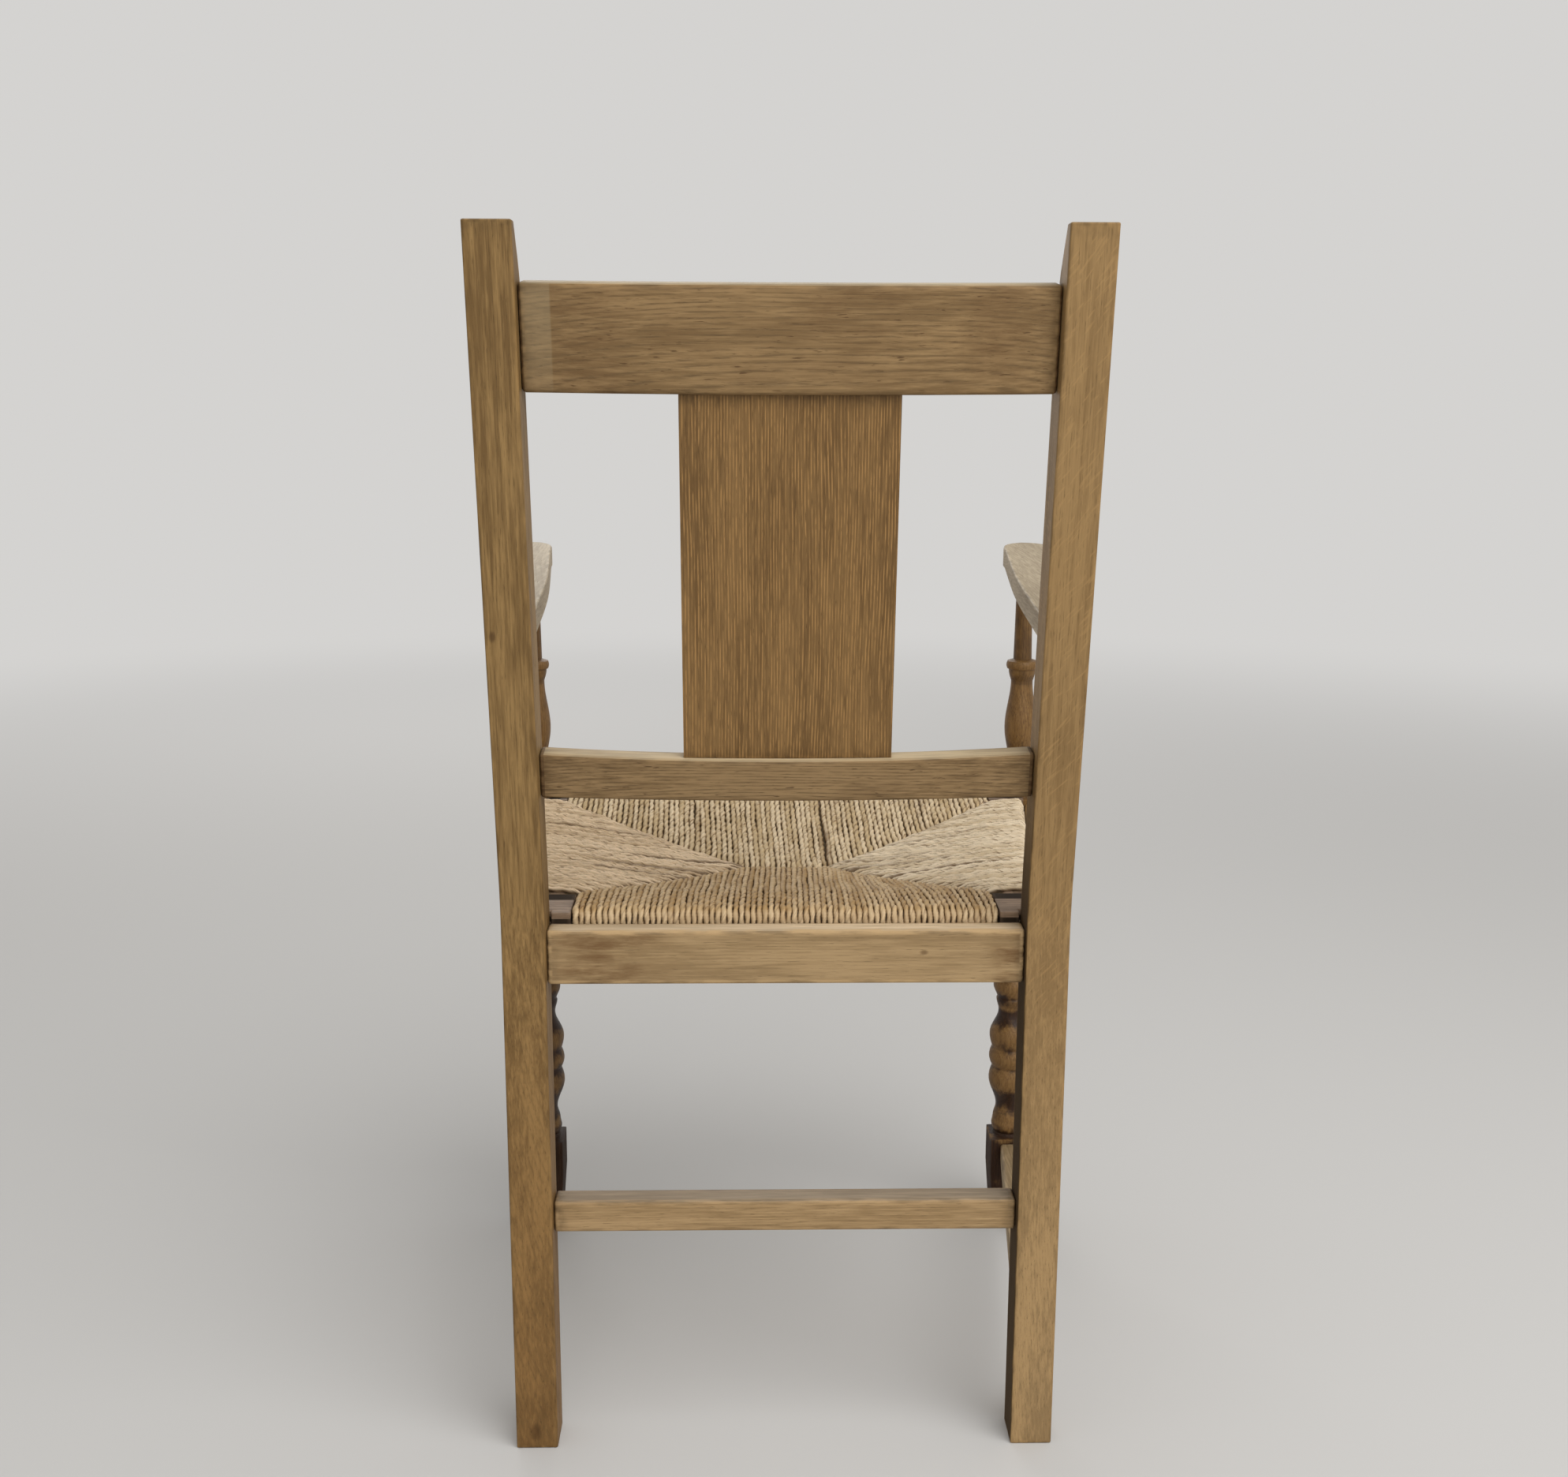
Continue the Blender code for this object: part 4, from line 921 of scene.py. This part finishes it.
# %% A tree that twists rush round its lines
rush_group, tree, given = new_group("twisted_rush", {
    "Cord Radius": ("Float", CORD), "Lay Length": ("Float", 25 * MM),
    "Ring Spacing": ("Float", 2.4 * MM), "Unevenness": ("Float", 0.36),
    "Ply Depth": ("Float", 0.16), "Sides": ("Int", 10), "Seed": ("Float", 0.0),
    "Material": ("Material", None)})
lines = tree.value("GeometryNodeMeshToCurve", {0: given["Geometry"]})
rings = tree.value("GeometryNodeResampleCurve", {
    "Curve": lines, "Length": given["Ring Spacing"]}, mode="LENGTH")
gone, cord_id = tree.value("GeometryNodeSplineParameter", output="Length"), tree.named("cord")
spot = tree.value("GeometryNodeInputPosition")
noted = tree.stored(tree.stored(rings, "along", gone), "middle", spot, "FLOAT_VECTOR")
twist = gone / given["Lay Length"] * math.tau + cord_id * 97.0
twisted = tree.value("GeometryNodeSetCurveTilt", {"Curve": noted, "Tilt": twist})
lumps = tree.noise(tree.joined(gone * 55.0, cord_id * 613.0 + given["Seed"]), 1.0, sides="2D")
thick = given["Cord Radius"] * (1.0 + (lumps - 0.5) * given["Unevenness"] * 2.0)
round_at = tree.value("GeometryNodeSplineParameter", output="Factor")
lobes = 1.0 + (round_at * (2 * math.tau)).math("COSINE") * given["Ply Depth"]
lobed = tree.value("GeometryNodeSetPosition", {
    "Geometry": circle(tree, given["Sides"]), "Position": tree.scaled(spot, lobes)})
swept = tree.value("GeometryNodeCurveToMesh", {
    "Curve": twisted, "Profile Curve": tree.stored(lobed, "around", round_at), "Scale": thick,
    "Fill Caps": True})
middle, facing = (tree.named(name, "FLOAT_VECTOR") for name in ("middle", "facing"))
away = tree.vector("NORMALIZE", tree.vector("SUBTRACT", spot, middle))
soft = tree.value("GeometryNodeSetShadeSmooth", {
    "Geometry": tree.stored(swept, "outer", tree.dot(away, facing))})
end_group(tree, soft, given["Material"])


# %% [markdown]
# Dry rush is straw coloured with greenish, tan and brown lengths. The leaf's ribs run along the
# ply, so the finish draws them in the coordinates that the tree stored: many thin ribs round the
# cord, long along it. Browner flecks come at random. Painted shade darkens the valley between the
# plies and everything that turns away from the seat's outer face, and a painted highlight, a little
# blue, lightens the rush where it faces backwards over the rear bar.

# %% The finish of the rush
def rush(name, pale, tan, brown, shadow, shade_dash_reach, seed):
    """One row's rush; the last argument is how far short lengths of painted shade creep up the
    flanks.
    """
    tree = Finish(name)
    along, around, cord_id, outer, split = map(
        tree.attribute, ("along", "around", "cord", "outer", "split"))
    turn = around * math.tau
    wrap = tree.joined(turn.math("COSINE"), turn.math("SINE"), along * 9.0 + cord_id * 71.0)
    ribs = tree.noise(tree.scaled(wrap, (5.0, 5.0, 1.2)), 3.0, 0.7)
    flecks = tree.noise(tree.scaled(wrap, (1.4, 1.4, 9.0)))
    lengths = tree.noise(tree.joined(along * 14.0, cord_id * 331.0 + seed), sides="2D")
    shade_dashes = tree.noise(tree.joined(along * 42.0, cord_id * 217.0 + seed), 1.0, sides="2D")
    each = (cord_id * 53.7).math("FRACT")
    tan_share = (lengths - 0.5) * 2.3 + (each - 0.5) * 1.1 + (ribs - 0.5) * 1.6 + 0.40
    tree.colour = tree.mix(tan_share.rise(0.0, 1.0), pale, tan)
    tree.lay(flecks.rise(0.56, 0.70) * 0.85, brown)
    # Painted shade in the valley between the two plies.
    valley_shade = 0.5 - (around * (2 * math.tau)).math("COSINE") * 0.5
    tree.lay(valley_shade * 0.25, times(tan, 0.5))
    # Painted highlight, a little blue, where the rush faces backwards round the rear bar.
    painted_roll_highlight = tree.dot(tree.attribute("facing", "Vector"), (0, 1, 0)).rise(0.5, 0.95)
    tree.lay(painted_roll_highlight * 0.45, times(pale, (0.96, 1.03, 1.20)))
    # Painted shade on the flanks, climbing higher beside a split and in short dashes.
    climb = split * 0.8 + shade_dashes.rise(0.52, 0.66) * shade_dash_reach
    tree.lay((1 - outer.rise(climb - 0.1, climb + 0.85)) * 0.88, shadow)
    return tree.done(0.70 - ribs * 0.2, 0.25, ribs + valley_shade * -0.3, 0.6, 0.4 * MM)


# %% Wind the four rows
# Painted shade colours for the flanks and gaps of the rear and front rows, and of the side rows.
END_ROW_PAINTED_SHADE, SIDE_ROW_PAINTED_SHADE = (0.172, 0.092, 0.030), (0.13, 0.075, 0.032)
# Each row: pale, tan and brown rush, its painted shade, and how far dashes of it creep up. The rows
# are one rush, and part of the difference in their colours is painted light and shade: the rear row
# is darker.
ROWS = {
    "rear": ((0.640, 0.465, 0.260), (0.455, 0.290, 0.125), (0.190, 0.096, 0.034), END_ROW_PAINTED_SHADE, 0.15),
    "front": ((0.800, 0.640, 0.420), (0.600, 0.445, 0.245), (0.210, 0.115, 0.046), END_ROW_PAINTED_SHADE, 0.20),
    "left": ((0.820, 0.632, 0.420), (0.600, 0.437, 0.263), (0.200, 0.115, 0.048), SIDE_ROW_PAINTED_SHADE, 0.20),
    "right": ((0.820, 0.680, 0.488), (0.635, 0.495, 0.317), (0.200, 0.125, 0.058), SIDE_ROW_PAINTED_SHADE, 0.20),
}
SNUG = 0.512
for number, (part, tones) in enumerate(ROWS.items()):
    starts = row_starts(part, evenly)
    first, last = edge_point(part, 0.0), edge_point(part, 1.0)
    radius = (last - first).length / len(starts) * SNUG
    rng = random.Random(number)
    points, faces, darks, edges, cords = [], [], [], [], []
    for index, start in enumerate(starts):
        line, facing, dark = cord_line(part, index, (index + 0.5) / len(starts), start, radius)
        edges += [(len(points) + i, len(points) + i + 1) for i in range(len(line) - 1)]
        points += line
        faces += facing
        darks += dark
        cords += [rng.random()] * len(line)
    guide = bpy.data.meshes.new("rush_lines")
    guide.from_pydata([SEAT_PLACE @ p for p in points], edges, [])
    note(guide, "cord", cords)
    note(guide, "split", darks)
    note(guide, "facing", [SEAT_PLACE.to_3x3() @ f for f in faces])
    finish = rush("rush_" + part, *tones, number * 11.0)
    mesh = grown("rush_row_" + part, guide, rush_group, {
        "Material": finish, "Cord Radius": radius, "Seed": float(number)})
    add_piece("rush_row_" + part, mesh, finish, "loose_seat", "rush_seat")
    print("rush row", part, "has", len(starts), "cords", round(radius / MM * 2, 2), "mm thick and",
          len(mesh.polygons), "faces")

# %% [markdown]
# Between the upper and the lower cords the maker packs waste rush, which fills the seat out. It
# shows only as darkness between two cords, so its colour is painted shade, far darker than rush.
# It is the same surface as the cords', drawn a cord's thickness further in, and closed.

# %% The padding inside
STATIONS, STEPS, INSET = 7, 12, 1.9 * CORD


def core_mesh():
    """Four closed wedges, one below each row."""
    work = bmesh.new()
    for part in ROWS:
        grid = []
        for start in row_starts(part, lambda count: [i / (STATIONS - 1) for i in range(STATIONS)]):
            wide = corner(1, part).x
            share = forward(start.y) if part in SIDES else abs(start.x - wide) / (2 * wide)
            run = edge_point(part, share) - start
            outward = run.normalized() if run.length > 1 * MM else Vector((0, -1))
            reach = run.length - ROUND
            line = [start + outward * reach * k / STEPS for k in range(STEPS + 1)]
            ring = [(p, padded_height(part, p, 1) - INSET) for p in line]
            ring += [(start + outward * (reach + 3.2 * MM), z) for z in (-6 * MM, -14 * MM)]
            ring += [(p, padded_height(part, p, -1) + INSET) for p in line[::-1]]
            grid.append([work.verts.new((p.x, -p.y, z)) for p, z in ring])
        for first, second in zip(grid, grid[1:]):
            for j in range(len(first) - 1):
                work.faces.new((first[j], first[j + 1], second[j + 1], second[j]))
        for line in (grid[0], grid[-1]):
            work.faces.new(line)
    bmesh.ops.remove_doubles(work, verts=work.verts, dist=0.05 * MM)
    bmesh.ops.recalc_face_normals(work, faces=work.faces)
    mesh = bpy.data.meshes.new("rush_padding")
    work.to_mesh(mesh)
    work.free()
    mesh.transform(SEAT_PLACE)
    return mesh


# Painted shade: the padding is coloured as dark as the shadow between the cords.
tree = Finish("rush_padding")
straws = tree.cloud(tree.value("ShaderNodeTexCoord", output="Object"), (6, 1.2, 3), 3.0, 0.7)
tree.colour = tree.mix(straws.rise(0.3, 0.7), (0.050, 0.032, 0.014), (0.190, 0.125, 0.058))
mesh, finish = core_mesh(), tree.done(0.95 - straws * 0.15, 0.5)
add_piece("rush_padding", mesh, finish, "loose_seat", "rush_seat")
print("padding has", len(mesh.polygons), "faces")

# %% [markdown]
# ## Floor and light
# The chair stands on a plain pale floor, which takes its shadow and further out fades into the
# backdrop, as a studio's paper sweep does. The world gives an even soft light. A wide lamp above,
# on the chair's own right, makes the upper faces brighter and the left post's inner face lighter
# than the right one's, as in the picture; two weak ones fill in from behind and before. The camera
# and the reflections see a plain pale backdrop instead of the world.
# Part of this is also painted in the oak: light on the upper faces and shade low on the right
# post's inner face.

# %% Floor
BACKDROP = (0.66, 0.65, 0.635, 1)
floor_mesh = bpy.data.meshes.new("floor")
floor_mesh.from_pydata([(-30, -30, 0), (30, -30, 0), (30, 30, 0), (-30, 30, 0)], [], [(0, 1, 2, 3)])
floor = put("floor", floor_mesh)
tree = Finish("floor")
tree.colour = (0.56, 0.55, 0.535, 1)
floor_mesh.materials.append(tree.done(0.9, 0.1))
spot = tree.value("ShaderNodeTexCoord", output="Object")
haze = tree.value("ShaderNodeEmission", {"Color": BACKDROP, "Strength": 1.0})
faded = tree.value("ShaderNodeMixShader", {
    0: tree.length(spot).rise(1.6, 5.5), 1: tree.nodes["Principled BSDF"].outputs[0], 2: haze})
tree.feed(tree.nodes["Material Output"], {"Surface": faded})

# %% World and lamps
world = bpy.data.worlds.new("studio")
world.use_nodes = True
bpy.context.scene.world = world
tree = Tree(world.node_tree)
surround = tree.nodes["Background"]
tree.feed(surround, {"Color": (1.0, 0.99, 0.97, 1), "Strength": 0.53})
backdrop = tree.value("ShaderNodeBackground", {"Color": BACKDROP, "Strength": 1.0})
rays = tree.add("ShaderNodeLightPath").outputs
seen = Value(tree, rays["Is Camera Ray"]).math("MAXIMUM", rays["Is Glossy Ray"]).math(
    "MAXIMUM", rays["Is Transmission Ray"])
shown = tree.value("ShaderNodeMixShader", {0: seen, 1: surround.outputs[0], 2: backdrop})
tree.feed(tree.nodes["World Output"], {"Surface": shown})


def soft_lamp(name, place, size, watts):
    lamp = bpy.data.lights.new(name, "AREA")
    lamp.shape = "DISK"
    lamp.size = size
    lamp.energy = watts
    holder = put(name, lamp)
    holder.location = place
    aim = Vector((0, 0, 0.5)) - Vector(place)
    holder.rotation_euler = aim.to_track_quat("-Z", "Y").to_euler()


soft_lamp("sky", (-1.4, 2.1, 3.0), 3.6, 106)
soft_lamp("fill behind the chair", (0.3, 4.2, 1.6), 2.4, 25)
soft_lamp("fill before the chair", (0.8, -3.6, 2.2), 2.4, 28)
bpy.context.scene.view_settings.view_transform = "Standard"
